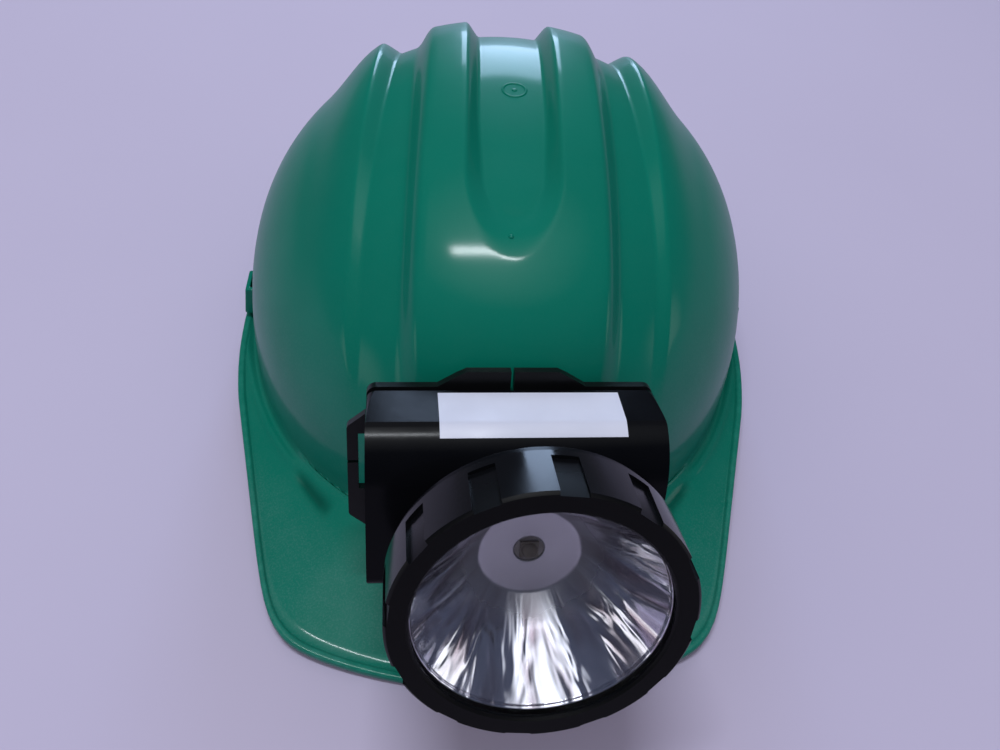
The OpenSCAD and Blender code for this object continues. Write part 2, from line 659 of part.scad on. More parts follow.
// The case is as wide as what lies in a row in it: left wall, holder, cell, room and socket
socket_floor = 1.5;
holder_len = cell_len + 2 * (holder_t + contact_t) + 5 * seat_gap;
case_half_w = (case_wall + holder_len + case_room + socket_depth + socket_floor) / 2;
seal_w = plate_t + seal_t + 2 * seat_gap;
case_inner_top = case_top - channel_h - case_wall;
case_inner_front = case_front - case_wall;
case_inner_half_w = case_half_w - case_wall;
inner_corner_r = max(0.5, corner_r - case_wall);
// The screw bosses run into the case's walls
boss_r = screw_r + 1.7;
boss_len = screw_len + 2;
boss_sink = 0.5;
screw_x = case_inner_half_w - boss_r + boss_sink;
screw_v = [-case_bottom + case_wall + boss_r - boss_sink, case_inner_top - boss_r + boss_sink];
screw_head_t = 1.6;
module at_screws() {
    for (side = [-1, 1], v = screw_v) translate([side * screw_x, v, 0]) children();
}

loop_corner = 5;
loop_round = 2;
module side_loop(side) {
    out = case_half_w + loop_out;
    bar = loop_out - slot_w;
    mid = (slot_top - slot_bottom) / 2;
    difference() {
        linear_extrude(plate_t) offset(loop_round) offset(-loop_round) polygon([
            [side * (case_half_w - corner_r), -loop_bottom - loop_corner],
            [side * case_half_w, -loop_bottom - loop_corner],
            [side * out, -loop_bottom], [side * out, loop_top - loop_corner],
            [side * case_half_w, loop_top], [side * (case_half_w - corner_r), loop_top]]);
        translate([side > 0 ? case_half_w : -case_half_w - slot_w, -slot_bottom, -over])
            cube([slot_w, slot_top + slot_bottom, plate_t + 2 * over]);
        translate([side > 0 ? out - bar - over : -out - over, mid - slit_w / 2, -over])
            cube([bar + 2 * over, slit_w, plate_t + 2 * over]);
    }
}
slot_up = 1;
slot_inset = 2;
slot_v = case_top - channel_h + slot_up;
slot_half_w = tab_tip - slot_inset;
tab_slant = 1.5;
tab_top = case_top + tab_h;
module back_plate() {
    color(case_black) on_seat() difference() {
        union() {
            rounded_block([-case_half_w, -case_bottom, 0], [case_half_w, case_top, plate_t], corner_r);
            linear_extrude(plate_t) polygon([[-tab_foot, case_top - over], [tab_foot, case_top - over],
                [tab_tip + tab_slant, tab_top - tab_slant], [tab_tip - tab_slant, tab_top],
                [-tab_tip + tab_slant, tab_top], [-tab_tip - tab_slant, tab_top - tab_slant]]);
            for (side = [-1, 1]) side_loop(side);
        }
        translate([-slot_half_w, slot_v, -over]) cube([2 * slot_half_w, slot_w, plate_t + 2 * over]);
        translate([-slit_w / 2, slot_v, -over]) cube([slit_w, tab_top, plate_t + 2 * over]);
        at_screws() {
            translate([0, 0, -over]) cylinder(r = screw_r + seat_gap, h = plate_t + 2 * over);
            translate([0, 0, -over])
                cylinder(r = screw_head_r + seat_gap, h = over + screw_head_t + seat_gap);
        }
    }
}
seal_band = case_wall - 2 * seat_gap;
seal_edge = 2 * seat_gap;
module case_seal() {
    low = [-case_half_w + seal_edge, -case_bottom + seal_edge, plate_t + seat_gap];
    high = [case_half_w - seal_edge, case_top - channel_h - seal_edge, plate_t + seat_gap + seal_t];
    in = [seal_band, seal_band, 1];
    color([0.25, 0.25, 0.26]) on_seat() difference() {
        rounded_block(low, high, corner_r - seal_edge);
        rounded_block(low + in - [0, 0, 2], high - in + [0, 0, 2], inner_corner_r);
    }
}
module case_screws() {
    color("silver") on_seat() at_screws() {
        cylinder(r = screw_head_r, h = screw_head_t);
        translate([0, 0, screw_head_t]) cylinder(r = screw_r, h = screw_len);
    }
}

// Side profiles of the case, as [height, distance from the plate's back]
case_bottom_r = 4;
// The sloped top is a little thicker than the other walls
lid_wall = 1.2 * case_wall;
shoulder_w = case_front - shoulder_r;
shoulder_from = asin((crease_w - shoulder_w) / shoulder_r);
shoulder_mid = [crease_v - shoulder_r * cos(shoulder_from), shoulder_w];
case_outline = concat(
    [[-case_bottom, seal_w], [case_top - channel_h, seal_w], [case_top - channel_h, seal_w + channel_d],
        [case_top, seal_w + channel_d]],
    arc(shoulder_mid, shoulder_r, shoulder_from, 90, 12),
    arc([-case_bottom + case_bottom_r, case_front - case_bottom_r], case_bottom_r, 90, 180, 8));
case_cavity = concat(
    [[-case_bottom + case_wall, seal_w - over], [case_inner_top, seal_w - over],
        [case_inner_top, seal_w + channel_d + case_wall],
        [case_top - lid_wall, seal_w + channel_d + case_wall]],
    arc(shoulder_mid, shoulder_r - case_wall, shoulder_from, 90, 8),
    arc([-case_bottom + case_bottom_r, case_front - case_bottom_r], case_bottom_r - case_wall, 90, 180, 6));

ear_in = knuckle_half_w + move_gap;
power_x = case_inner_half_w - seat_gap;
side_hole_r = button_r + seat_gap;
switch_w = (seal_w + case_inner_front) / 2;
socket_w = switch_w;
socket_v = -case_bottom + socket_rise;
cover_rim = 2;
cover_half_h = socket_r + cover_rim;
cover_hinge_w = socket_w - cover_half_h - cover_rim / 2;
cover_ear_t = 2;
cover_eye_r = cover_pin_r + 0.7;
cover_pin_x = case_half_w + cover_eye_r + move_gap;
board_inset = 4.9;
board_rise = 3;
board_v = case_inner_top - board_inset - board_h / 2;
board_w = switch_w + board_rise;
post_r = 2.5;
cover_pin_half = cover_half_h + move_gap + cover_ear_t;
// A cylinder along the cover's hinge
module cover_bar(half, r) {
    translate([cover_pin_x, socket_v + half, cover_hinge_w]) rotate([90, 0, 0]) cylinder(r = r, h = 2 * half);
}
module case_ears() {
    for (side = [-1, 1]) translate([head_x + side * (ear_in + ear_w / 2), 0, 0]) {
        hull() {
            bar_x(-ear_w / 2, ear_w / 2, hinge_v, hinge_w, knuckle_r);
            bar_x(-ear_w / 2, ear_w / 2, -case_bottom + case_bottom_r, case_front - case_bottom_r, case_bottom_r);
        }
    }
}
module cover_ears() {
    for (side = [-1, 1]) translate([0, socket_v + side * (cover_half_h + move_gap + cover_ear_t / 2), 0]) {
        translate([cover_pin_x, cover_ear_t / 2, cover_hinge_w]) rotate([90, 0, 0])
            cylinder(r = cover_eye_r, h = cover_ear_t);
        translate([case_half_w - over, -cover_ear_t / 2, cover_hinge_w - cover_eye_r])
            cube([cover_pin_x - case_half_w + over, cover_ear_t, 2 * cover_eye_r]);
    }
}
module battery_case() {
    color(case_black) on_seat() difference() {
        union() {
            difference() {
                intersection() {
                    along_x(-case_half_w, case_half_w, case_outline);
                    rounded_block([-case_half_w, -case_bottom, 0], [case_half_w, case_top, case_front + over],
                        corner_r);
                }
                intersection() {
                    along_x(-case_inner_half_w, case_inner_half_w, case_cavity);
                    rounded_block([-case_inner_half_w, -case_bottom + case_wall, 0],
                        [case_inner_half_w, case_top, case_front], inner_corner_r);
                }
            }
            at_screws() translate([0, 0, seal_w]) cylinder(r = boss_r, h = boss_len);
            for (side = [-1, 1]) translate([side * (board_len / 2 - 2 * post_r) - post_r, board_v,
                board_w + board_t + seat_gap])
                cylinder(r = post_r, h = case_inner_front - board_w - board_t - seat_gap + over);
            case_ears();
            cover_ears();
        }
        at_screws() translate([0, 0, seal_w - over]) cylinder(r = screw_r + run_fit, h = screw_len);
        bar_x(head_x - ear_in - ear_w - over, head_x + ear_in + ear_w + over, hinge_v, hinge_w,
            hinge_pin_r + run_fit);
        bar_x(case_inner_half_w - over, case_half_w + over, switch_v, switch_w, side_hole_r);
        bar_x(case_inner_half_w - over, case_half_w + over, socket_v, socket_w, socket_r + seat_gap);
        cover_bar(cover_pin_half + over, cover_pin_r + run_fit);
    }
}

// The sticker lies over the crease in the case's top
label_start = 0.1;
label_turn = 16;
label_lift = 0.05;
top_edge = [case_top, seal_w + channel_d];
crease = [crease_v, crease_w];
function unit(v) = v / norm(v);
function outward(a, b) = let (d = unit(b - a)) [d[1], -d[0]];
label_mitre = unit(outward(top_edge, crease) + [cos(shoulder_from), sin(shoulder_from)]);
function label_face(lift) = concat(
    [top_edge + label_start * (crease - top_edge) + lift * outward(top_edge, crease),
        crease + lift * label_mitre / (label_mitre * outward(top_edge, crease))],
    arc(shoulder_mid, shoulder_r + lift, shoulder_from + label_turn / 4, shoulder_from + label_turn, 3));
module label_blank() {
    color("white") on_seat() along_x(label_x - label_w / 2, label_x + label_w / 2,
        concat(label_face(label_lift), reversed(label_face(label_lift + label_t))));
}

// Cell, contacts, holder and board

cell_left = -case_inner_half_w + holder_t + contact_t + 3 * seat_gap;
cell_right = cell_left + cell_len;
cell_w = seal_w + holder_t + cell_r + 2 * seat_gap;
cell_v = -case_bottom + cell_rise;
holder_half_h = cell_r - 1;
holder_depth = 1.4 * cell_r;
module battery_cell() {
    color([0.2, 0.35, 0.6]) on_seat() bar_x(cell_left, cell_right, cell_v, cell_w, cell_r);
}
contact_half = 4;
module cell_contacts() {
    color("gold") on_seat() for (x = [cell_left - contact_t - seat_gap, cell_right + seat_gap])
        translate([x, cell_v - contact_half, cell_w - contact_half])
            cube([contact_t, 2 * contact_half, 2 * contact_half]);
}
module cell_holder() {
    low_v = cell_v - holder_half_h;
    high_v = cell_v + holder_half_h;
    floor_w = seal_w + seat_gap;
    left = cell_left - contact_t - 2 * seat_gap - holder_t;
    right = cell_right + contact_t + 2 * seat_gap;
    color([0.2, 0.2, 0.21]) on_seat() {
        translate([left, low_v, floor_w]) cube([right + holder_t - left, high_v - low_v, holder_t]);
        for (x = [left, right]) translate([x, low_v, floor_w])
            cube([holder_t, high_v - low_v, holder_t + holder_depth]);
    }
}
module control_board() {
    color([0.1, 0.35, 0.2]) on_seat() translate([-board_len / 2 - post_r, board_v - board_h / 2, board_w])
        cube([board_len, board_h, board_t]);
}

// Switch, charging socket and its cover, in the case's right side

switch_half = button_r + 1.2;
switch_well_r = button_r + 0.8;
button_collar_r = button_r + 0.5;
switch_len = 8;
button_proud = 1.8;
button_collar_t = 0.8;
button_back = power_x - button_collar_t - seat_gap;
module switch_body() {
    right = power_x - button_collar_t - button_travel - 2 * seat_gap;
    color([0.15, 0.15, 0.16]) on_seat() difference() {
        translate([right - switch_len, switch_v - switch_half, switch_w - switch_half])
            cube([power_x - right + switch_len, 2 * switch_half, 2 * switch_half]);
        bar_x(right, power_x + over, switch_v, switch_w, switch_well_r);
    }
}
module switch_button() {
    color([0.5, 0.05, 0.05]) on_seat() {
        bar_x(button_back, case_half_w + button_proud, switch_v, switch_w, button_r);
        bar_x(button_back, power_x - seat_gap, switch_v, switch_w, button_collar_r);
    }
}
socket_rim = 1;
module charge_socket() {
    body_half = socket_r + socket_rim;
    body_left = case_half_w - socket_depth - socket_floor;
    color([0.1, 0.1, 0.1]) on_seat() difference() {
        union() {
            bar_x(power_x - over, case_half_w, socket_v, socket_w, socket_r);
            translate([body_left, socket_v - body_half, socket_w - body_half])
                cube([power_x - body_left, 2 * body_half, 2 * body_half]);
        }
        bar_x(case_half_w - socket_depth, case_half_w + over, socket_v, socket_w, socket_bore_r);
    }
}
module socket_cover() {
    inner_x = case_half_w + move_gap;
    color([0.13, 0.13, 0.14]) on_seat() difference() {
        union() {
            translate([inner_x, socket_v - cover_half_h, cover_hinge_w])
                cube([cover_t, 2 * cover_half_h, socket_w + cover_half_h - cover_hinge_w]);
            cover_bar(cover_half_h, cover_eye_r);
        }
        cover_bar(cover_half_h + over, cover_pin_r + run_fit);
    }
}
module cover_pin() {
    color("silver") on_seat() cover_bar(cover_pin_half, cover_pin_r);
}

// Lamp head, turned about its own axis

module on_axis() {
    on_seat() translate([head_x, 0, 0]) children();
}
bezel_back = bezel_front - bezel_d;
bezel_edge = 0.8;
bezel_bore_r = collar_r + run_fit;
lip_back = bezel_front - bezel_lip;
lens_front = lip_back - move_gap;
lens_back = lens_front - lens_t;
gasket_back = lens_back - seat_gap - gasket_t;
flange_front = gasket_back - seat_gap;
flange_back = flange_front - reflector_t;
collar_front = flange_back - seat_gap;
stack_r = collar_r - 2 * seat_gap;
stop_t = 1.8;
tilt_gap = 3.2;
stop_front = bezel_back - move_gap;
stop_back = stop_front - stop_t;
stop_inset = 0.9;
stop_r = bezel_r - stop_inset;
cone_front_r = collar_r - bezel_edge;
board_back = bezel_front - led_depth;
housing_back = case_front + tilt_gap;
seat_w = board_back - seat_gap;

module hinge_pin() {
    half = ear_in + ear_w;
    color("silver") on_axis() bar_x(-half, half, hinge_v, hinge_w, hinge_pin_r);
}
boss_rim = 1;
housing_edge = 1;
arm_share = 1.5;
module head_housing() {
    wall = housing_wall;
    back_in = housing_back + wall;
    boss = led_board_r + boss_rim;
    arm_w = knuckle_r * arm_share;
    arm_len = -hinge_v - housing_back_r + wall;
    color(case_black) on_axis() difference() {
        union() {
            rotate_extrude() polygon([[0, housing_back], [housing_back_r - housing_edge, housing_back],
                [housing_back_r, housing_back + housing_edge], [cone_front_r, stop_back], [stop_r, stop_back],
                [stop_r, stop_front], [collar_r, stop_front], [collar_r, collar_front],
                [collar_r - wall, collar_front], [collar_r - wall, stop_front],
                [cone_front_r - wall, stop_back], [housing_back_r - wall, back_in],
                [boss, back_in], [boss, seat_w], [0, seat_w]]);
            bar_x(-knuckle_half_w, knuckle_half_w, hinge_v, hinge_w, knuckle_r);
            translate([-knuckle_half_w, hinge_v, hinge_w - knuckle_r + housing_edge])
                cube([2 * knuckle_half_w, arm_len, arm_w]);
        }
        bar_x(-knuckle_half_w - over, knuckle_half_w + over, hinge_v, hinge_w, hinge_pin_r + run_fit);
        for (side = [-1, 1]) translate([side * lead_x, 0, housing_back - over])
            cylinder(r = lead_r + seat_gap, h = seat_w - housing_back + 2 * over);
    }
}
// The reflector is nearly flat round the chip's hole, then rises to the flange in a steep curve
bowl_r = aperture_r - move_gap;
reflector_back = board_back + led_board_t + seat_gap;
bowl_back = reflector_back + move_gap;
bowl_floor_rise = 1.2;
bowl_power = 1.35;
bowl_steps = 16;
bowl_wall_h = flange_front - bowl_back - bowl_floor_rise;
function bowl_share(r) = max(0, (r - bowl_floor_r) / (bowl_r - bowl_floor_r));
function bowl_w(r) = bowl_back + bowl_floor_rise * min(1, (r - reflector_hole_r) / (bowl_floor_r - reflector_hole_r))
    + bowl_wall_h * pow(bowl_share(r), bowl_power);
function bowl_radius(i) = reflector_hole_r + (bowl_r - reflector_hole_r) * i / bowl_steps;
bowl_curve = [for (i = [0:bowl_steps]) [bowl_radius(i), bowl_w(bowl_radius(i))]];
function bowl_behind(i) = let (d = bowl_curve[i] - bowl_curve[i - 1])
    bowl_curve[i] + reflector_t * [d[1], -d[0]] / norm(d);
bowl_outside = [for (i = [bowl_steps:-1:1]) bowl_behind(i)];
module reflector() {
    outer = [for (p = bowl_outside) if (p[1] < flange_back - seat_gap && p[1] > reflector_back + seat_gap) p];
    foot_r = outer[len(outer) - 1][0];
    color([0.85, 0.86, 0.88]) on_axis() rotate_extrude() polygon(concat(bowl_curve,
        [[stack_r, flange_front], [stack_r, flange_back], [outer[0][0] + reflector_t / 2, flange_back]],
        outer, [[foot_r, reflector_back], [reflector_hole_r, reflector_back]]));
}
lead_inset = 2.5;
lead_x = led_board_r - lead_inset;
module led_board() {
    color([0.75, 0.76, 0.78]) on_axis() translate([0, 0, board_back])
        cylinder(r = led_board_r, h = led_board_t);
}
chip_half = led_dome_r + 0.3;
chip_t = 0.8;
module led_emitter() {
    color([0.95, 0.85, 0.4]) on_axis() translate([0, 0, board_back + led_board_t]) {
        translate([-chip_half, -chip_half, 0]) cube([2 * chip_half, 2 * chip_half, chip_t]);
        translate([0, 0, chip_t]) rotate_extrude() intersection() {
            circle(r = led_dome_r);
            square(led_dome_r);
        }
    }
}
module head_leads() {
    color("firebrick") on_axis() for (side = [-1, 1]) translate([side * lead_x, 0, housing_back])
        cylinder(r = lead_r, h = board_back - housing_back);
}
module lens_gasket() {
    color([0.2, 0.2, 0.2]) on_axis() translate([0, 0, gasket_back]) difference() {
        cylinder(r = stack_r, h = gasket_t);
        translate([0, 0, -over]) cylinder(r = aperture_r, h = gasket_t + 2 * over);
    }
}
module lens() {
    color([0.85, 0.9, 0.95]) on_axis() translate([0, 0, lens_back]) cylinder(r = stack_r, h = lens_t);
}
notch_start = 3.2;
module bezel_ring() {
    color(case_black) on_axis() difference() {
        rotate_extrude() polygon([[bezel_bore_r, bezel_back], [bezel_r - bezel_edge, bezel_back],
            [bezel_r, bezel_back + bezel_edge], [bezel_r, bezel_front - bezel_edge],
            [bezel_r - bezel_edge, bezel_front], [aperture_r + bezel_edge, bezel_front],
            [aperture_r, bezel_front - bezel_edge], [aperture_r, lip_back], [bezel_bore_r, lip_back]]);
        for (i = [0:notch_count - 1]) rotate([0, 0, 90 - notch_turn + 360 * i / notch_count])
            translate([bezel_r - notch_d, -notch_w / 2, bezel_back + notch_start])
                cube([notch_d + over, notch_w, bezel_d]);
    }
}

helmet_shell();
headband();
sweatband();
nape_strap();
nape_pins();
crown_strap_lower();
crown_strap_upper();
suspension_keys();
saddle_pad();
back_plate();
case_seal();
case_screws();
battery_case();
label_blank();
cell_holder();
battery_cell();
cell_contacts();
control_board();
switch_body();
switch_button();
charge_socket();
socket_cover();
cover_pin();
hinge_pin();
head_housing();
reflector();
led_board();
led_emitter();
head_leads();
lens_gasket();
lens();
bezel_ring();
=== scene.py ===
import json
import math
import bmesh
import bpy
import numpy as np
from mathutils import Matrix, Vector


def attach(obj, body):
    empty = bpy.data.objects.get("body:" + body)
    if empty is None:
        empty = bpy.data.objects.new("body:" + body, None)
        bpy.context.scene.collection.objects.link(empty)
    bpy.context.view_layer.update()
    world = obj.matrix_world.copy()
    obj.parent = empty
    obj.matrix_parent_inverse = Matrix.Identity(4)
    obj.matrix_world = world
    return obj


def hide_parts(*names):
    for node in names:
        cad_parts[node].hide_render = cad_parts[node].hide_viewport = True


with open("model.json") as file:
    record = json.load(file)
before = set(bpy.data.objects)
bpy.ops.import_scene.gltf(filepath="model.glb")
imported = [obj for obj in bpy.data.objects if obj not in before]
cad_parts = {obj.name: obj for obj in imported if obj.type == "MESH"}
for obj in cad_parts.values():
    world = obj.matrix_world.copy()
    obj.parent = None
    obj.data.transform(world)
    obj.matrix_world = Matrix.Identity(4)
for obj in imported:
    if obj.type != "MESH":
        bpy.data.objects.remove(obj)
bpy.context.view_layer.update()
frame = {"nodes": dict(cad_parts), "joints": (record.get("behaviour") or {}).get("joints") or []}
nodes = frame["nodes"]
scene = bpy.context.scene
scene.view_settings.view_transform = "Standard"
mm = 0.001


def ink(red, green, blue):  # screen colour 0 to 255 to linear light
    def linear(c):
        c = c / 255
        return c / 12.92 if c <= 0.04045 else ((c + 0.055) / 1.055) ** 2.4
    return (linear(red), linear(green), linear(blue), 1)


def ramp(low, high, value):
    s = np.clip((value - low) / (high - low), 0, 1)
    return s * s * (3 - 2 * s)


def between(pair, share):
    return pair[0] + (pair[1] - pair[0]) * share


# the lamp head's own frame comes from its joints: x across, v up the plate, w out from the plate's back
joints = {joint["name"]: joint for joint in frame["joints"]}
lampAcross = Vector(joints["head_tilt"]["axis"])
lampUp = Vector(joints["cover_flip"]["axis"])
lampOut = Vector(joints["bezel_twist"]["axis"])
twistOut = 60  # distance of the ring's joint from the plate's back
axisFoot = Vector(joints["bezel_twist"]["pos_m"]) - lampOut * twistOut * mm


def onAxis(x, v, w):
    return axisFoot + (lampAcross * x + lampUp * v + lampOut * w) * mm


def lampDepth(points):  # distance in front of the plate's back, in millimetres
    return (points - np.array(axisFoot)) @ np.array(lampOut) / mm


def addObject(name, data):
    thing = bpy.data.objects.new(name, data)
    scene.collection.objects.link(thing)
    return thing


# camera at the photo's angle
photoCamera = {"target": (0, -65.2, 48.48), "distance": 341.33, "azimuth": -5.22, "elevation": 51.04,
               "roll": 5.97, "focalPixels": 907.1, "imageWidth": 1000, "sensorWidth": 36, "clipStart": 0.01}


def placeCamera(settings):
    az, el, roll = (math.radians(settings[k]) for k in ("azimuth", "elevation", "roll"))
    back = Vector((math.sin(az) * math.cos(el), -math.cos(az) * math.cos(el), math.sin(el)))
    right = (-back).cross(Vector((0, 0, 1))).normalized()
    up = right.cross(-back)
    camRight = math.cos(roll) * right + math.sin(roll) * up
    camUp = -math.sin(roll) * right + math.cos(roll) * up
    data = bpy.data.cameras.new("photoCamera")
    data.sensor_fit = "HORIZONTAL"
    data.sensor_width = settings["sensorWidth"]
    data.lens = settings["focalPixels"] * settings["sensorWidth"] / settings["imageWidth"]
    data.clip_start = settings["clipStart"]
    camera = addObject("photoCamera", data)
    spot = (Vector(settings["target"]) + back * settings["distance"]) * mm
    camera.matrix_world = Matrix.Translation(spot) @ Matrix((camRight, camUp, back)).transposed().to_4x4()
    scene.camera = camera


placeCamera(photoCamera)


# short ways to add nodes
def feed(tree, inputs, values):  # each input takes a link or a plain value
    for name, value in values.items():
        if isinstance(value, bpy.types.NodeSocket):
            tree.links.new(value, inputs[name])
        else:
            inputs[name].default_value = value


def addNode(tree, kind, values=None, **traits):
    node = tree.nodes.new(kind)
    for name, value in traits.items():
        setattr(node, name, value)
    feed(tree, node.inputs, values or {})
    return node


def mixColours(tree, factor, first, second):
    return addNode(tree, "ShaderNodeMix", {0: factor, 6: first, 7: second}, data_type="RGBA").outputs[2]


def mixValues(tree, factor, first, second):
    return addNode(tree, "ShaderNodeMix", {0: factor, 2: first, 3: second}).outputs[0]


def combine(tree, operation, first, second, **traits):
    return addNode(tree, "ShaderNodeMath", {0: first, 1: second}, operation=operation, **traits).outputs[0]


def mapRange(tree, value, source=(0, 1), target=(0, 1), blend="LINEAR"):
    limits = {"From Min": source[0], "From Max": source[1], "To Min": target[0], "To Max": target[1]}
    node = addNode(tree, "ShaderNodeMapRange", {"Value": value, **limits}, interpolation_type=blend)
    return node.outputs[0]


def attributeValue(tree, name):
    return addNode(tree, "ShaderNodeAttribute", attribute_name=name).outputs["Fac"]


# a ceiling tube, a far window and a soft room that lights evenly, mirrors darkly and shows pale behind
studio = {"tube": {"spot": (-0.17, -0.12, 1.6), "size": (0.62, 0.07), "power": 11.2, "tint": (0.95, 1, 1.06)},
          "window": {"spot": (0.09, 2.0, 0.55), "size": (0.5, 0.96), "power": 16.5, "tint": (0.58, 0.77, 1.1),
                     "aim": (0, 0, 0.1)},
          "litLeft": ink(255, 253, 255), "litRight": ink(208, 204, 217), "litHeight": (0.42, 1.0),
          "panes": (((0.99, -0.11, 0.11), 15, 2.2), ((-0.91, -0.41, 0.05), 15, 2.0)),
          "mirrored": ((0.45, ink(176, 172, 196)), (0.53, ink(100, 103, 118)), (0.66, ink(62, 68, 84)),
                       (0.93, ink(74, 80, 98)), (0.975, (1.15, 1.19, 1.28, 1)), (1.0, (2.2, 2.28, 2.42, 1))),
          "behind": ink(226, 222, 238), "litStrength": 0.72, "shownStrength": 0.8}


def areaLight(name, settings):  # straight down without an aim
    data = bpy.data.lights.new(name, "AREA")
    data.shape = "RECTANGLE"
    data.size, data.size_y = settings["size"]
    data.energy = settings["power"]
    data.color = settings["tint"]
    lamp = addObject(name, data)
    spot = Vector(settings["spot"])
    lamp.matrix_world = Matrix.Translation(spot)
    if "aim" in settings:
        lamp.matrix_world @= (spot - Vector(settings["aim"])).to_track_quat("Z", "Y").to_matrix().to_4x4()


def lightStudio(settings):
    areaLight("ceilingTube", settings["tube"])
    areaLight("farWindow", settings["window"])
    world = bpy.data.worlds.new("paleRoom")
    scene.world = world
    world.use_nodes = True
    tree = world.node_tree
    place = addNode(tree, "ShaderNodeTexCoord").outputs["Generated"]
    split = addNode(tree, "ShaderNodeSeparateXYZ", {0: place}).outputs
    shades = addNode(tree, "ShaderNodeValToRGB", {0: mapRange(tree, split["Z"], (-1, 1))})
    stops = shades.color_ramp.elements
    for position, colour in settings["mirrored"][2:]:
        stops.new(position)
    for stop, (position, colour) in zip(stops, settings["mirrored"]):
        stop.position, stop.color = position, colour
    path = addNode(tree, "ShaderNodeLightPath").outputs
    bounced = combine(tree, "MAXIMUM", path["Is Glossy Ray"], path["Is Transmission Ray"])
    shown = combine(tree, "MAXIMUM", path["Is Camera Ray"], bounced)
    lit = mixColours(tree, mapRange(tree, split["X"], (-1, 1)), settings["litLeft"], settings["litRight"])
    height = mapRange(tree, split["Z"], target=settings["litHeight"])
    lit = addNode(tree, "ShaderNodeVectorMath", {0: lit, "Scale": height}, operation="SCALE").outputs[0]
    lit = mixColours(tree, bounced, lit, shades.outputs[0])
    lit = mixColours(tree, path["Is Camera Ray"], lit, settings["behind"])
    for toward, spread, bright in settings["panes"]:  # seen only in mirrors
        facing = addNode(tree, "ShaderNodeVectorMath", {0: place, 1: Vector(toward).normalized()},
                         operation="DOT_PRODUCT").outputs["Value"]
        glow = mapRange(tree, facing, (math.cos(math.radians(spread)), 1), blend="SMOOTHSTEP")
        lit = mixColours(tree, combine(tree, "MULTIPLY", glow, bounced), lit, (bright, bright, bright, 1))
    strength = mapRange(tree, shown, target=(settings["litStrength"], settings["shownStrength"]))
    feed(tree, tree.nodes["Background"].inputs, {"Color": lit, "Strength": strength})


lightStudio(studio)
print("camera and lights set")


# shader groups that several finishes share
def newGroup(name, inputs, outputs):
    tree = bpy.data.node_groups.new(name, "ShaderNodeTree")
    for label, value in inputs.items():
        socket = tree.interface.new_socket(label, in_out="INPUT", socket_type="NodeSocketFloat")
        socket.default_value = value
    for label in outputs:
        tree.interface.new_socket(label, in_out="OUTPUT", socket_type="NodeSocketFloat")
    return tree, tree.nodes.new("NodeGroupInput").outputs, tree.nodes.new("NodeGroupOutput").inputs


def objectNoise(tree, scale, detail, roughness=0.5):
    place = addNode(tree, "ShaderNodeTexCoord").outputs["Object"]
    inputs = {"Vector": place, "Scale": scale, "Detail": detail, "Roughness": roughness}
    return addNode(tree, "ShaderNodeTexNoise", inputs).outputs["Fac"]


def buildGrain():  # slow mottling and fine moulded grain
    scales = {"Tone Scale": 40.0, "Grain Scale": 1800.0}
    tree, given, made = newGroup("mouldGrain", scales, ["Tone", "Height"])
    feed(tree, made, {"Tone": objectNoise(tree, given["Tone Scale"], 4),
                      "Height": objectNoise(tree, given["Grain Scale"], 2)})
    return tree


def buildDust():  # pale film broken into specks and smears
    inputs = {"Zone": 0.0, "Speck Scale": 900.0, "Smear Scale": 60.0}
    tree, given, made = newGroup("dustFilm", inputs, ["Mask"])
    films = []
    for label, cut, share in (("Speck Scale", (0.42, 0.75), 0.75), ("Smear Scale", (0.2, 0.8), 0.5)):
        noise = objectNoise(tree, given[label], 5, 0.65)
        films.append(mapRange(tree, noise, cut, (0, share), "SMOOTHSTEP"))
    whole = combine(tree, "ADD", *films)
    tree.links.new(combine(tree, "MULTIPLY", whole, given["Zone"], use_clamp=True), made["Mask"])
    return tree


def buildRub():  # edges polished or greyed by handling
    tree, given, made = newGroup("edgeRub", {"Edge": 0.0, "Scale": 300.0}, ["Mask"])
    broken = mapRange(tree, objectNoise(tree, given["Scale"], 4), (0.42, 0.66), blend="SMOOTHSTEP")
    tree.links.new(combine(tree, "MULTIPLY", broken, given["Edge"]), made["Mask"])
    return tree


grainGroup, dustGroup, rubGroup = buildGrain(), buildDust(), buildRub()


def groupOutputs(tree, group, values):
    return addNode(tree, "ShaderNodeGroup", values, node_tree=group).outputs


def grainOutputs(tree, toneScale, grainScale):
    return groupOutputs(tree, grainGroup, {"Tone Scale": toneScale, "Grain Scale": grainScale})


def bumped(tree, height, distance):
    return addNode(tree, "ShaderNodeBump", {"Distance": distance, "Height": height}).outputs["Normal"]


def newMaterial(name):
    material = bpy.data.materials.new(name)
    material.use_nodes = True
    return material, material.node_tree, material.node_tree.nodes["Principled BSDF"].inputs


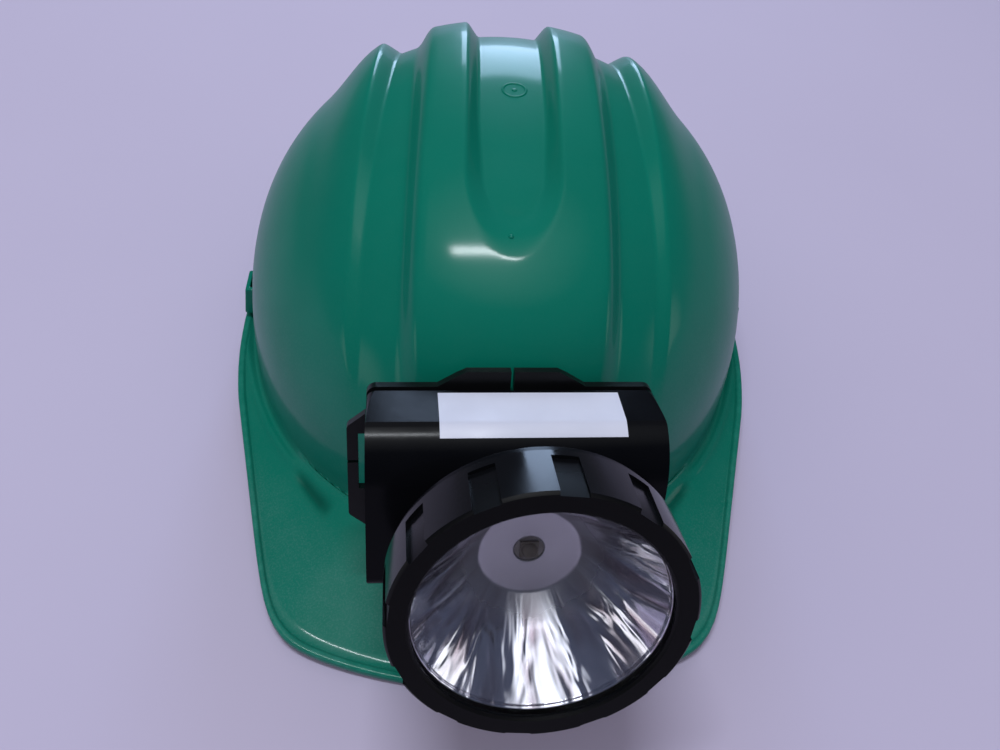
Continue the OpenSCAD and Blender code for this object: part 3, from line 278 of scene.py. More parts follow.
# each finish: two close tones, roughness range, grain (tone scale, grain scale, height in metres),
# and where it has them dust, rubbed edges and a painted shade colour
finishes = {
    "shellGreen": {
        "tones": (ink(2, 115, 96), ink(2, 106, 88)), "rough": (0.36, 0.44), "grain": (26, 300, 0.00002),
        "specular": 0.04, "coat": (0.28, 0.12), "dust": (ink(170, 190, 200), 1400, 45, 0.75),
        # shade: painted shade, a dark green laid into the gutter's pocket
        "rub": (ink(28, 128, 110), 260), "shade": ink(2, 74, 61)},
    "casePolish": {
        "tones": (ink(8, 9, 12), ink(11, 12, 16)), "rough": (0.14, 0.22), "grain": (60, 500, 0.00001),
        "specular": 0.07, "rub": (ink(52, 54, 60), 420)},
    "plateBlack": {
        "tones": (ink(10, 11, 13), ink(14, 15, 17)), "rough": (0.26, 0.38), "grain": (60, 900, 0.00002),
        "specular": 0.2, "rub": (ink(56, 58, 64), 420)},
    "bezelBlack": {
        "tones": (ink(9, 10, 13), ink(13, 14, 17)), "rough": (0.08, 0.14), "grain": (70, 700, 0.00001),
        "specular": 0.14, "rub": (ink(40, 42, 50), 420), "matt": (0.55, ink(6, 6, 7), 0.12)},
    "labelFilm": {
        "tones": (ink(208, 211, 228), ink(197, 201, 220)), "rough": (0.3, 0.45),
        "grain": (90, 1500, 0.00002)},
    "harnessPlastic": {
        "tones": (ink(44, 46, 49), ink(36, 38, 41)), "rough": (0.4, 0.55), "grain": (50, 2200, 0.00005),
        "rub": (ink(96, 98, 102), 380)},
    "padRubber": {
        "tones": (ink(24, 24, 25), ink(32, 32, 33)), "rough": (0.7, 0.85), "grain": (80, 2600, 0.00008)},
    "sealRubber": {
        "tones": (ink(34, 34, 35), ink(42, 42, 43)), "rough": (0.65, 0.8), "grain": (90, 2600, 0.00005)},
    "innerPlastic": {
        "tones": (ink(30, 31, 33), ink(38, 39, 41)), "rough": (0.4, 0.55), "grain": (80, 2400, 0.00004)},
    "buttonRubber": {
        "tones": (ink(18, 18, 20), ink(26, 26, 28)), "rough": (0.45, 0.6), "grain": (120, 2600, 0.00005),
        "rub": (ink(70, 70, 74), 500)},
    "pinSteel": {
        "tones": (ink(168, 170, 174), ink(148, 150, 156)), "rough": (0.22, 0.4),
        "grain": (160, 3000, 0.00002), "metallic": 1.0},
    "contactBrass": {
        "tones": (ink(206, 170, 92), ink(186, 150, 78)), "rough": (0.2, 0.35), "grain": (160, 3000, 0.00002),
        "metallic": 1.0},
    "cellSleeve": {
        "tones": (ink(38, 84, 150), ink(32, 74, 136)), "rough": (0.25, 0.4), "grain": (60, 900, 0.00003)},
    "boardGreen": {
        "tones": (ink(20, 92, 52), ink(16, 80, 44)), "rough": (0.3, 0.5), "grain": (200, 1800, 0.00004)},
    "ledMetal": {
        "tones": (ink(150, 146, 136), ink(132, 128, 120)), "rough": (0.4, 0.55),
        "grain": (200, 2600, 0.00002), "metallic": 0.6},
    "ledPhosphor": {
        "tones": (ink(122, 112, 92), ink(110, 100, 82)), "rough": (0.45, 0.6), "grain": (300, 3200, 0.00002)},
    "leadSleeve": {
        "tones": (ink(150, 28, 26), ink(132, 22, 22)), "rough": (0.4, 0.55), "grain": (200, 2600, 0.00002)},
    "seamThread": {
        "tones": (ink(168, 170, 174), ink(128, 130, 136)), "rough": (0.6, 0.8),
        "grain": (900, 5000, 0.00005)},
}
toneSpread = (0.3, 0.7)  # where the mottling's noise lies


def makeFinish(name, settings):
    material, tree, shader = newMaterial(name)
    shine = settings.get("specular", 0.5)
    feed(tree, shader, {"Metallic": settings.get("metallic", 0.0), "Specular IOR Level": shine})
    if "coat" in settings:
        feed(tree, shader, dict(zip(("Coat Weight", "Coat Roughness"), settings["coat"])))
    toneScale, grainScale, grainHeight = settings["grain"]
    grain = grainOutputs(tree, toneScale, grainScale)
    colour = mixColours(tree, grain["Tone"], *settings["tones"])
    rough = mapRange(tree, grain["Tone"], toneSpread, settings["rough"])
    if "matt" in settings:  # the front of the ring has no polish
        mattRough, mattColour, mattShine = settings["matt"]
        front = attributeValue(tree, "matt")
        colour = mixColours(tree, front, colour, mattColour)
        rough = mixValues(tree, front, rough, mattRough)
        feed(tree, shader, {"Specular IOR Level": mapRange(tree, front, target=(shine, mattShine))})
    if "rub" in settings:
        rubColour, rubScale = settings["rub"]
        rub = groupOutputs(tree, rubGroup, {"Scale": rubScale, "Edge": attributeValue(tree, "rub")})
        colour = mixColours(tree, rub["Mask"], colour, rubColour)
    if "dust" in settings:
        dustColour, speckScale, smearScale, dustRough = settings["dust"]
        values = {"Speck Scale": speckScale, "Smear Scale": smearScale, "Zone": attributeValue(tree, "dust")}
        dust = groupOutputs(tree, dustGroup, values)
        colour = mixColours(tree, dust["Mask"], colour, dustColour)
        rough = mixValues(tree, dust["Mask"], rough, dustRough)
    # painted shade: darkens the colour where the shade attribute is set
    if "shade" in settings:
        colour = mixColours(tree, attributeValue(tree, "shade"), colour, settings["shade"])
    normal = bumped(tree, grain["Height"], grainHeight)
    feed(tree, shader, {"Base Color": colour, "Roughness": rough, "Normal": normal})
    return material


finish = {name: makeFinish(name, settings) for name, settings in finishes.items()}

# woven finishes follow the piece's own map, in metres
weaves = {
    "webbing": {
        "tones": (ink(112, 114, 118), ink(78, 80, 84)), "rough": 0.8, "pitch": 0.0012, "bump": 0.00018},
    "sweatCloth": {
        "tones": (ink(40, 40, 43), ink(24, 24, 26)), "rough": 0.92, "pitch": 0.0009, "bump": 0.00012},
}
weaveForm = {"turns": (45, 135), "wavePeriod": 0.314, "waver": 0.6, "depth": 0.7, "sheen": 0.25,
             "grain": (120.0, 3000.0)}


def makeWeave(name, settings, form):
    material, tree, shader = newMaterial(name)
    place = addNode(tree, "ShaderNodeTexCoord").outputs["UV"]
    threads = []
    for turn in form["turns"]:
        mapped = addNode(tree, "ShaderNodeMapping", {"Vector": place, "Rotation": (0, 0, math.radians(turn))})
        values = {"Vector": mapped.outputs[0], "Scale": form["wavePeriod"] / settings["pitch"],
                  "Distortion": form["waver"]}
        threads.append(addNode(tree, "ShaderNodeTexWave", values).outputs["Fac"])
    both = combine(tree, "MULTIPLY", *threads)
    mottle = grainOutputs(tree, *form["grain"])["Tone"]
    tone = addNode(tree, "ShaderNodeMath", {0: both, 1: form["depth"], 2: mottle}, operation="MULTIPLY_ADD")
    light, dark = settings["tones"]
    colour = mixColours(tree, tone.outputs[0], dark, light)
    feed(tree, shader, {"Base Color": colour, "Roughness": settings["rough"], "Sheen Weight": form["sheen"],
                        "Normal": bumped(tree, both, settings["bump"])})
    return material


finish.update({name: makeWeave(name, settings, weaveForm) for name, settings in weaves.items()})
lensFinish = {"Base Color": (0.97, 0.98, 1.0, 1), "Roughness": 0.0, "IOR": 1.2, "Transmission Weight": 1.0}


def makeLensClear(settings):
    material, tree, shader = newMaterial("lensClear")
    feed(tree, shader, settings)
    return material


# mirror bowl: fine streaks run out from the chip over the wall, none over the floor
bowlFinish = {"floor": ink(196, 194, 196), "wall": ink(244, 244, 250), "tarnish": ink(168, 150, 158),
              "noise": {"Scale": 3.4, "Detail": 2, "Distortion": 0.6}, "tarnishFrom": (0.42, 0.68),
              "bump": 0.0016, "floorRough": 0.42, "roughFrom": (0.35, 0.7), "rough": (0.08, 0.18)}


def makeBowlMirror(settings):
    material, tree, shader = newMaterial("bowlMirror")
    wall = attributeValue(tree, "streaked")
    place = addNode(tree, "ShaderNodeAttribute", attribute_name="streakPlace").outputs["Vector"]
    noise = addNode(tree, "ShaderNodeTexNoise", {"Vector": place, **settings["noise"]}).outputs["Fac"]
    worn = mapRange(tree, noise, settings["tarnishFrom"])
    silver = mixColours(tree, worn, settings["wall"], settings["tarnish"])
    rough = mapRange(tree, noise, settings["roughFrom"], settings["rough"])
    normal = bumped(tree, combine(tree, "MULTIPLY", noise, wall), settings["bump"])
    feed(tree, shader, {"Metallic": 1.0, "Base Color": mixColours(tree, wall, settings["floor"], silver),
                        "Roughness": mixValues(tree, wall, settings["floorRough"], rough), "Normal": normal})
    return material


finish["lensClear"] = makeLensClear(lensFinish)
finish["bowlMirror"] = makeBowlMirror(bowlFinish)
print("finishes made:", len(finish))

# floor, in metres, with a slow mottling
floorForm = {"half": 4.0, "z": -0.0006, "colour": ink(190, 182, 208), "mottle": (0.93, 0.93, 0.94, 1),
             "rough": 0.85, "grain": (5.0, 700.0)}


def layFloor(settings):
    mesh = bpy.data.meshes.new("paleFloor")
    half, z = settings["half"], settings["z"]
    corners = [(-half, -half, z), (half, -half, z), (half, half, z), (-half, half, z)]
    mesh.from_pydata(corners, [], [(0, 1, 2, 3)])
    floor = addObject("paleFloor", mesh)
    material, tree, shader = newMaterial("paleFloor")
    tone = grainOutputs(tree, *settings["grain"])["Tone"]
    mottled = tuple(c * share for c, share in zip(settings["colour"], settings["mottle"]))
    colour = mixColours(tree, tone, settings["colour"], mottled)
    feed(tree, shader, {"Base Color": colour, "Roughness": settings["rough"]})
    mesh.materials.append(material)


layFloor(floorForm)


# helpers that make a mesh and put it into the scene
def addPiece(name, mesh, material, body, replaced=()):
    piece = addObject(name, mesh)
    if material is not None:
        mesh.materials.clear()
        mesh.materials.append(material)
    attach(piece, body)
    if replaced:
        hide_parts(*replaced)
    return piece


def setAttribute(mesh, name, values, domain="POINT"):
    layer = mesh.attributes.new(name, "FLOAT", domain)
    layer.data.foreach_set("value", np.asarray(values, np.float32))


def shadeSmooth(mesh):
    for polygon in mesh.polygons:
        polygon.use_smooth = True
    return mesh


def meshOf(edit, name):
    mesh = bpy.data.meshes.new(name)
    edit.to_mesh(mesh)
    edit.free()
    return mesh


def closedMesh(mesh, merge=None):  # faces look outward, and a ring drawn on the axis becomes one point
    edit = bmesh.new()
    edit.from_mesh(mesh)
    if merge is not None:
        bmesh.ops.remove_doubles(edit, verts=edit.verts, dist=merge)
        bmesh.ops.delete(edit, geom=[e for e in edit.edges if not e.link_faces], context="EDGES")
    bmesh.ops.recalc_face_normals(edit, faces=edit.faces)
    edit.to_mesh(mesh)
    edit.free()
    return shadeSmooth(mesh)


def evaluatedMesh(holder, name):  # plain mesh of an object with its modifiers, which then goes
    mesh = bpy.data.meshes.new_from_object(holder.evaluated_get(bpy.context.evaluated_depsgraph_get()))
    mesh.name = name
    holder.modifiers.clear()
    bpy.data.objects.remove(holder)
    return mesh


softForm = {"merge": 2e-6, "flat": 0.8, "crease": 28, "segments": 2, "wear": 0.5, "normalWeight": 60}


def weightNormals(mesh):  # large faces stay flat beside their rounded edges
    holder = addObject("holder", shadeSmooth(mesh))
    holder.modifiers.new("weighted", "WEIGHTED_NORMAL").weight = softForm["normalWeight"]
    return evaluatedMesh(holder, mesh.name)


def softened(nodeName, meshName, width, segments=softForm["segments"], crease=softForm["crease"]):
    edit = bmesh.new()
    edit.from_mesh(nodes[nodeName].data)
    bmesh.ops.remove_doubles(edit, verts=edit.verts, dist=softForm["merge"])
    bmesh.ops.dissolve_limit(edit, angle_limit=math.radians(softForm["flat"]), verts=edit.verts,
                             edges=edit.edges)
    edges = [e for e in edit.edges if len(e.link_faces) == 2 and e.calc_face_angle(0) > math.radians(crease)]
    made = bmesh.ops.bevel(edit, geom=edges, offset=width * mm, segments=segments, profile=0.5,
                           affect="EDGES", clamp_overlap=True, loop_slide=True)
    edit.faces.index_update()
    rounded = {f.index for f in made["faces"]}
    mesh = meshOf(edit, meshName)
    worn = [softForm["wear"] if polygon.index in rounded else 0.0
            for polygon in mesh.polygons for corner in polygon.vertices]
    setAttribute(mesh, "rub", worn, "CORNER")
    return weightNormals(mesh)


def loopFaces(loops, count, around=False):  # quads between neighbouring loops of count points
    return [(k * count + i, k * count + (i + 1) % count,
             (k + 1) % loops * count + (i + 1) % count, (k + 1) % loops * count + i)
            for k in range(loops if around else loops - 1) for i in range(count)]


def lathe(meshName, profile, turns, place=onAxis):
    angles = [2 * math.pi * k / turns for k in range(turns)]
    points = [place(r * math.cos(a), r * math.sin(a), w) for a in angles for r, w in profile]
    mesh = bpy.data.meshes.new(meshName)
    mesh.from_pydata(points, [], loopFaces(turns, len(profile), around=True))
    return closedMesh(mesh, merge=4e-6)


# helmet shell, in millimetres: the same rules as the solid with a much finer net
shellForm = {
    "halfW": 103, "front": 121, "rear": 109, "crown": 123.5, "fullness": 2.45, "foot": 14, "footRise": 8,
    "wall": 2.5, "troughHalf": 12, "troughDraw": 2.5, "troughWall": (3.5, 6), "troughLen": 62,
    "troughEnd": 24, "troughFade": (25, 70), "troughLost": 0.6,
    "ridgeEdge": 28, "ridgeFoot": 37, "ridgeHigh": 6.2,
    "ridgeFade": (0.48, 0.84), "edgeRound": 0.8, "stepIn": 46, "stepW": 4, "stepDraw": 6, "drawSpan": 100,
    "drawPast": 8, "shoulderFoot": 72, "shoulderHigh": (1.4, 6.4), "shoulderGrow": (-70, 60),
    "shoulderFade": (0.40, 0.68), "lip": (5.8, 8), "lipGrow": (20, 80), "peakReach": 168, "peakFrontR": 200,
    "peakRootW": 118, "peakTaper": 14, "peakPower": 24, "peakFade": (4, 28), "rimArch": 12, "borderW": 3.5,
    "borderH": 3.8, "brimT": 2.6, "brimSag": 1.6, "footRound": (0.5, 0.6), "rimTuck": 0.7, "skinTurn": 88,
    "brimSteps": (0.15, 0.33, 0.52, 0.72, 0.9, 1.0), "underSteps": (0.25, 0.5, 0.75, 0.94, 1.0),
    "rows": 240, "stripRows": 5, "skinRows": 20, "sideColumns": 34, "lastColumn": 0.996}
sf = shellForm
# gutter along the dome's foot and its pocket: places out from the foot, angles round from the side
# pocketShade: how dark the painted shade laid into the pocket is
gutterForm = {"valley": (1.6, 1.0, -1.1), "crest": (4.4, 1.2, 0.9), "start": (5, 16), "stop": (46, 50),
              "pocket": (48.5, 61), "pocketEnds": (4, 3), "pocketOut": (4.6, 8.0), "pocketHalf": (1.4, 3.0),
              "pocketDeep": 1.6, "pocketShade": 0.9, "room": 13,
              "rings": (0.7, 1.4, 2.2, 3.0, 3.8, 4.6, 5.5, 6.5, 7.6, 8.8, 10.2, 12)}
# dust gathers low on the sides and over the peak, and the rim is rubbed
dustForm = {"side": (0.82, 0.98), "sideFrom": (20, 75), "sideEnd": (1.0, 1.03), "sideLost": 0.6,
            "sideShare": 0.045, "peak": (1.02, 1.2), "peakFrom": (20, 100), "peakShare": 0.07,
            "everywhere": 0.01, "rimRub": 0.4}


def hump(out, place, width, high=1.0):
    return high * np.exp(-((out - place) / width) ** 2)


def gutterRelief(out, t):
    g = gutterForm
    lift = hump(out, *g["valley"]) + hump(out, *g["crest"])
    lift = lift * ramp(*g["start"], t) * (1 - ramp(*g["stop"], t))
    first, last = g["pocket"]
    opens, shuts = g["pocketEnds"]
    share = np.clip((t - first) / (last - first), 0, 1)
    hollow = hump(out, between(g["pocketOut"], share), between(g["pocketHalf"], share))
    hollow *= ramp(first, first + opens, t) * (1 - ramp(last - shuts, last, t))
    # the second value is painted shade, darkest in the pocket's hollow
    return lift - g["pocketDeep"] * hollow, g["pocketShade"] * hollow


def footHeight(y):
    return sf["foot"] + sf["footRise"] * np.maximum(0, -y / sf["front"]) ** 2


def planDepth(y):
    return np.where(y < 0, sf["front"], sf["rear"])


def bevelled(low, high, value, soft):  # straight flank from 0 to 1 with both its edges rounded
    def rise(t):
        return np.where(t > soft, t, np.where(t < -soft, 0, (t + soft) ** 2 / (4 * soft)))
    return (rise(value - low) - rise(value - high)) / (high - low)


def shellOutside(u, turn):  # u is a column's place across, turn goes from the front foot to the rear foot
    n, far, soft = sf["fullness"], np.abs(u), sf["edgeRound"]
    depth = np.where(turn < np.pi / 2, sf["front"], sf["rear"])
    y = -depth * np.sqrt(1 - (u / sf["halfW"]) ** 2) * np.cos(turn)
    stepOut = sf["stepIn"] + sf["stepW"]
    drawn = ramp(sf["ridgeFoot"], sf["stepIn"], far)
    drawn *= 1 - ramp(stepOut, sf["shoulderFoot"] + sf["drawPast"], far)
    x = u - np.sign(u) * sf["stepDraw"] * drawn * np.sin(turn) * y / sf["drawSpan"]
    reach = np.hypot(x / sf["halfW"], y / planDepth(y))
    rise = np.maximum(0, 1 - reach ** n) ** (1 / n)
    foot = footHeight(y)
    z = foot + (sf["crown"] - foot) * rise
    past = np.maximum(0, -y - sf["troughLen"] + sf["troughEnd"]) * sf["troughHalf"] / sf["troughEnd"]
    forward = ramp(0, sf["troughLen"], -y)
    half = sf["troughHalf"] - sf["troughDraw"] * forward
    trough = 1 - bevelled(half, half + between(sf["troughWall"], forward), np.hypot(far, past), soft)
    trough *= 1 - sf["troughLost"] * ramp(*sf["troughFade"], -y)
    ridge = (1 - ramp(sf["ridgeEdge"], sf["ridgeFoot"], far)) * ramp(*sf["ridgeFade"], rise)
    shoulder = bevelled(sf["stepIn"], stepOut, far, soft) * (1 - ramp(stepOut, sf["shoulderFoot"], far))
    shoulder *= between(sf["shoulderHigh"], ramp(*sf["shoulderGrow"], y)) * ramp(*sf["shoulderFade"], rise)
    lift = sf["ridgeHigh"] * ridge * (1 - trough) + shoulder
    pull = np.maximum(reach, 1e-6) ** (n - 2)
    out = np.stack([pull * x / sf["halfW"] ** 2, pull * y / planDepth(y) ** 2,
                    rise ** (n - 1) / (sf["crown"] - foot)], -1)
    out /= np.linalg.norm(out, axis=-1, keepdims=True)
    return np.stack([x, y, z], -1) + lift[..., None] * out


def rimReach(p):
    t = np.degrees(np.arctan2(-p[:, 1], np.abs(p[:, 0])))
    own = np.hypot(p[:, 0], p[:, 1])
    lip = own + between(sf["lip"], ramp(*sf["lipGrow"], -t))
    tr = np.radians(np.maximum(t, 0))
    side = sf["peakRootW"] / (np.cos(tr) + math.tan(math.radians(sf["peakTaper"])) * np.sin(tr))
    c = (sf["peakFrontR"] - sf["peakReach"]) * np.sin(tr)
    front = -c + np.sqrt(c * c + sf["peakFrontR"] ** 2 - (sf["peakFrontR"] - sf["peakReach"]) ** 2)
    k = sf["peakPower"]
    edge = (side ** -k + front ** -k) ** (-1 / k)
    reach = lip + np.maximum(0, edge - lip) * ramp(*sf["peakFade"], t)
    return t, own, np.where(t <= sf["peakFade"][0], lip, reach), sf["rimArch"] * np.cos(np.radians(t)) ** 2


def shellColumns():  # start, end and count of each run of columns, close together where the shell bends
    stepIn, ridgeEdge, ridgeFoot = sf["stepIn"], sf["ridgeEdge"], sf["ridgeFoot"]
    stepOut = stepIn + sf["stepW"]
    wallOut = sf["troughHalf"] + sf["troughWall"][0]
    runs = ((0.7, wallOut + 1, 24), (wallOut + 2.5, ridgeEdge, 6), (ridgeEdge + 0.8, ridgeFoot, 11),
            (ridgeFoot + 2, stepIn - 1.5, 4), (stepIn - 1, stepOut + 1, 16))
    start, stop = math.asin((stepOut + 1.8) / sf["halfW"]), math.asin(sf["lastColumn"])
    sides = np.linspace(start, stop, sf["sideColumns"])
    half = np.concatenate([np.linspace(*run) for run in runs] + [sf["halfW"] * np.sin(sides)])
    return np.concatenate([-half[::-1], [0], half])


def buildShell():
    xs, rows = shellColumns(), sf["rows"]
    columns = len(xs)
    across, turns = np.meshgrid(xs, np.pi * np.arange(rows + 1) / rows, indexing="ij")
    points = [shellOutside(across, turns).reshape(-1, 3)]
    gid = np.arange(columns * (rows + 1)).reshape(columns, rows + 1)
    faces = [(gid[i, j], gid[i, j + 1], gid[i + 1, j + 1], gid[i + 1, j])
             for i in range(columns - 1) for j in range(rows)]
    total = columns * (rows + 1)
    strips = []
    for i in (columns - 1, 0):  # upright strips under the outermost columns
        above = gid[i, 1:rows]
        top = points[0][above]
        foot = top.copy()
        foot[:, 2] = footHeight(top[:, 1])
        first, last = [gid[i, 0], above[0]], [gid[i, rows], above[-1]]
        for s in range(1, sf["stripRows"] + 1):
            ids = np.arange(total, total + rows - 1)
            total += rows - 1
            points.append(top + (foot - top) * s / sf["stripRows"])
            faces += [(above[k], above[k + 1], ids[k + 1], ids[k]) for k in range(rows - 2)]
            first.append(ids[0])
            last.append(ids[-1])
            above = ids
        faces += [tuple(first), tuple(last)]
        strips.append(above)
    loop = np.concatenate([gid[:, 0], strips[0], gid[::-1, rows], strips[1][::-1]])
    net = np.concatenate(points)
    p = net[loop].copy()
    p[:, 2] = footHeight(p[:, 1])
    t, own, reach, rimZ = rimReach(p)
    flat = p[:, :2] / own[:, None]
    roundOut, roundUp = sf["footRound"]  # a small round where dome and brim meet
    net[loop, :2] += flat * roundOut
    net[loop, 2] = p[:, 2] + roundUp
    rings, count = [loop], len(loop)
    # painted shade for each point, set only in the gutter's pocket
    shades = [np.zeros(len(net))]

    def ring(radius, z, dark=0.0):
        nonlocal total, net
        ids = np.arange(total, total + count)
        shades.append(np.full(count, dark))
        net = np.concatenate([net, np.column_stack([flat * radius[:, None], z])])
        total += count
        before = rings[-1]
        for k in range(count):
            m = (k + 1) % count
            faces.append((before[k], before[m], ids[m], ids[k]))
        rings.append(ids)

    room = reach - sf["borderW"] - own
    outs = [place * np.minimum(1, room / gutterForm["room"]) for place in gutterForm["rings"]]
    outs += [outs[-1] + (room - outs[-1]) * s for s in sf["brimSteps"]]
    for out in outs:
        s = out / room
        relief, hollow = gutterRelief(out, t)
        slope = p[:, 2] + (rimZ + sf["brimT"] - p[:, 2]) * s - sf["brimSag"] * s * (1 - s)
        ring(own + out, slope + relief, hollow)
    borderStart = len(rings)
    bh, bt, bw, tuck = sf["borderH"], sf["brimT"], sf["borderW"], sf["rimTuck"]
    border = ((0.86 * bw, bt + 0.3), (0.74 * bw, bh - 0.2), (0.62 * bw, bh), (1.0, bh), (0.5, bh - 0.15),
              (0.15, bh - 0.6), (0.0, bh - 1.2), (0.0, 0.9), (0.2, 0.3), (tuck, 0.0))
    for inset, up in border:  # inset from the rim, height over its underside
        ring(reach - inset, rimZ + up)
    scaleX, skinZ = (sf["halfW"] - sf["wall"]) / sf["halfW"], sf["crown"] - sf["wall"]
    scaleY = (planDepth(p[:, 1]) - sf["wall"]) / planDepth(p[:, 1])
    skinR = np.hypot(p[:, 0] * scaleX, p[:, 1] * scaleY)
    skinFoot = footHeight(p[:, 1]) - sf["wall"]
    for s in sf["underSteps"]:  # underside of the brim
        ring(reach - tuck + (skinR - reach + tuck) * s, rimZ + (skinFoot - rimZ) * s)
    for a in np.radians(np.linspace(0, sf["skinTurn"], sf["skinRows"])[1:]):  # inside of the dome
        foot = footHeight(p[:, 1] * scaleY * np.cos(a)) - sf["wall"]
        rise = (1 - np.cos(a) ** sf["fullness"]) ** (1 / sf["fullness"])
        ring(skinR * np.cos(a), foot + (skinZ - foot) * rise)
    net = np.concatenate([net, [[0, 0, skinZ]]])
    shades.append(np.zeros(1))
    inside = rings[-1]
    faces += [(inside[k], inside[(k + 1) % count], total) for k in range(count)]
    mesh = bpy.data.meshes.new("helmetShell")
    mesh.from_pydata((net * mm).tolist(), [], [tuple(int(v) for v in f) for f in faces])
    closedMesh(mesh)
    d = dustForm
    plan = np.hypot(net[:, 0] / sf["halfW"], net[:, 1] / planDepth(net[:, 1]))
    sideDust = ramp(*d["side"], plan) * ramp(*d["sideFrom"], np.abs(net[:, 0]))
    sideDust *= (1 - d["sideLost"] * ramp(*d["sideEnd"], plan)) * d["sideShare"]
    peakDust = ramp(*d["peak"], plan) * ramp(*d["peakFrom"], -net[:, 1]) * d["peakShare"]
    setAttribute(mesh, "dust", np.maximum(sideDust, peakDust) + d["everywhere"])
    # painted shade in the pocket, read by the shell's finish
    setAttribute(mesh, "shade", np.concatenate(shades))
    rub = np.zeros(len(net))
    rub[np.concatenate(rings[borderStart + 1:borderStart + 6])] = d["rimRub"]
    setAttribute(mesh, "rub", rub)
    return mesh


def joined(meshName, meshes):
    edit = bmesh.new()
    for mesh in meshes:
        edit.from_mesh(mesh)
    return shadeSmooth(meshOf(edit, meshName))


# moulded ring with a dot on the trough's floor, and a pip at its front end: place across and along, profile
markForms = {"gateRing": (1.0, 7.0, ((3.6, -0.5), (3.7, 0.1), (4.2, 0.3), (4.7, 0.1), (4.8, -0.5))),
             "gateDot": (1.0, 7.0, ((0.001, 0.35), (0.6, 0.28), (1.0, 0.05), (1.1, -0.5), (0.001, -0.5))),
             "frontPip": (-1.0, -63.5, ((0.001, 0.55), (0.5, 0.48), (0.9, 0.1), (1.0, -0.5), (0.001, -0.5)))}
markTurns, markStep = 40, 0.5


def onShell(x, y):  # point and outward normal of the outside
    def spot(u, v):
        turn = math.acos(-v / (sf["front"] if v < 0 else sf["rear"]) / math.sqrt(1 - (u / sf["halfW"]) ** 2))
        return Vector(shellOutside(np.array([u]), np.array([turn]))[0])
    e = markStep
    normal = (spot(x + e, y) - spot(x - e, y)).cross(spot(x, y + e) - spot(x, y - e)).normalized()
    return spot(x, y), normal


def buildMarks(forms):
    meshes = []
    for name, (x, y, profile) in forms.items():
        centre, normal = onShell(x, y)
        across = Vector((1, 0, 0))
        across = (across - normal * across.dot(normal)).normalized()
        along = normal.cross(across)
        meshes.append(lathe(name, profile, markTurns,
                            lambda a, b, w: (centre + across * a + along * b + normal * w) * mm))
    return joined("mouldMarks", meshes)


# slotted lugs on the dome's sides: a frame round each slot, in millimetres
lugForm = {"x": (100.5, 108.0), "y": (-11, 4), "z": (18, 31), "slotX": (103.4, 106.2), "slotY": (-7.5, 0.5),
           "lean": 1.6, "round": 0.9}


def buildLugs(f):
    meshes = []
    (x0, x1), (y0, y1), (sx0, sx1), (sy0, sy1) = f["x"], f["y"], f["slotX"], f["slotY"]
    for side in (-1, 1):
        points = []
        for z, draw in zip(f["z"], (0, f["lean"])):
            outer = [(x0, y0 + draw), (x1 - draw, y0 + draw), (x1 - draw, y1 - draw), (x0, y1 - draw)]
            slot = [(sx0, sy0), (sx1 - draw, sy0), (sx1 - draw, sy1), (sx0, sy1)]
            points += [Vector((side * x, y, z)) * mm for x, y in outer + slot]
        edit = bmesh.new()
        corners = [edit.verts.new(v) for v in points]
        for k in range(4):
            m = (k + 1) % 4
            for face in ((k, m, 4 + m, 4 + k), (8 + k, 12 + k, 12 + m, 8 + m), (k, 8 + k, 8 + m, m),
                         (4 + k, 4 + m, 12 + m, 12 + k)):
                edit.faces.new([corners[i] for i in face])
        bmesh.ops.recalc_face_normals(edit, faces=edit.faces)
        bmesh.ops.bevel(edit, geom=edit.edges[:], offset=f["round"] * mm, segments=3, profile=0.5,
                        affect="EDGES", clamp_overlap=True)
        meshes.append(meshOf(edit, "lug"))
    return weightNormals(joined("sideLugs", meshes))


helmet = addPiece("helmetShell", buildShell(), finish["shellGreen"], "cap", ["helmet_shell"])
addPiece("mouldMarks", buildMarks(markForms), finish["shellGreen"], "cap")
addPiece("sideLugs", buildLugs(lugForm), finish["shellGreen"], "cap")
print("helmet shell", len(helmet.data.polygons), "faces")

# pieces whose solid is right get rounded edges and a finish
softPieces = {
    "backPlate": ("back_plate", 0.5, "plateBlack", "cap", "case_black"),
    "batteryCase": ("battery_case", 0.7, "casePolish", "cap", "case_black"),
    "saddlePad": ("saddle_pad", 0.4, "padRubber", "cap", "pad_rubber"),
    "suspensionKeys": ("suspension_keys", 0.8, "harnessPlastic", "cap", "harness_plastic"),
    "headband": ("headband", 0.35, "harnessPlastic", "cap", "harness_plastic"),
    "napeStrap": ("nape_strap", 0.3, "harnessPlastic", "cap", "harness_plastic"),
    "napePins": ("nape_pins", 0.4, "harnessPlastic", "cap", "harness_plastic"),
    "labelBlank": ("label_blank", 0.04, "labelFilm", "cap", "label_white"),
    "caseScrews": ("case_screws", 0.25, "pinSteel", "cap", "steel"),
    "coverPin": ("cover_pin", 0.15, "pinSteel", "cap", "steel"),
    "hingePin": ("hinge_pin", 0.3, "pinSteel", "cap", "steel"),
    "chargeSocket": ("charge_socket", 0.2, "innerPlastic", "cap", "inner_plastic"),
    "switchButton": ("switch_button", 0.5, "buttonRubber", "button", "button_rubber"),
    "socketCover": ("socket_cover", 0.4, "buttonRubber", "cover", "button_rubber"),
    "headHousing": ("head_housing", 0.6, "casePolish", "head", "case_black"),
    "ledEmitter": ("led_emitter", 0.15, "ledPhosphor", "head", "led_phosphor"),
}
shallowCreases = {"batteryCase": 15}  # edges from this angle up are rounded too
for pieceName, (nodeName, width, finishName, body, slot) in softPieces.items():
    rounded = softened(nodeName, pieceName, width, crease=shallowCreases.get(pieceName, softForm["crease"]))
    addPiece(pieceName, rounded, finish[finishName], body, [nodeName])
print("rounded pieces", len(softPieces))

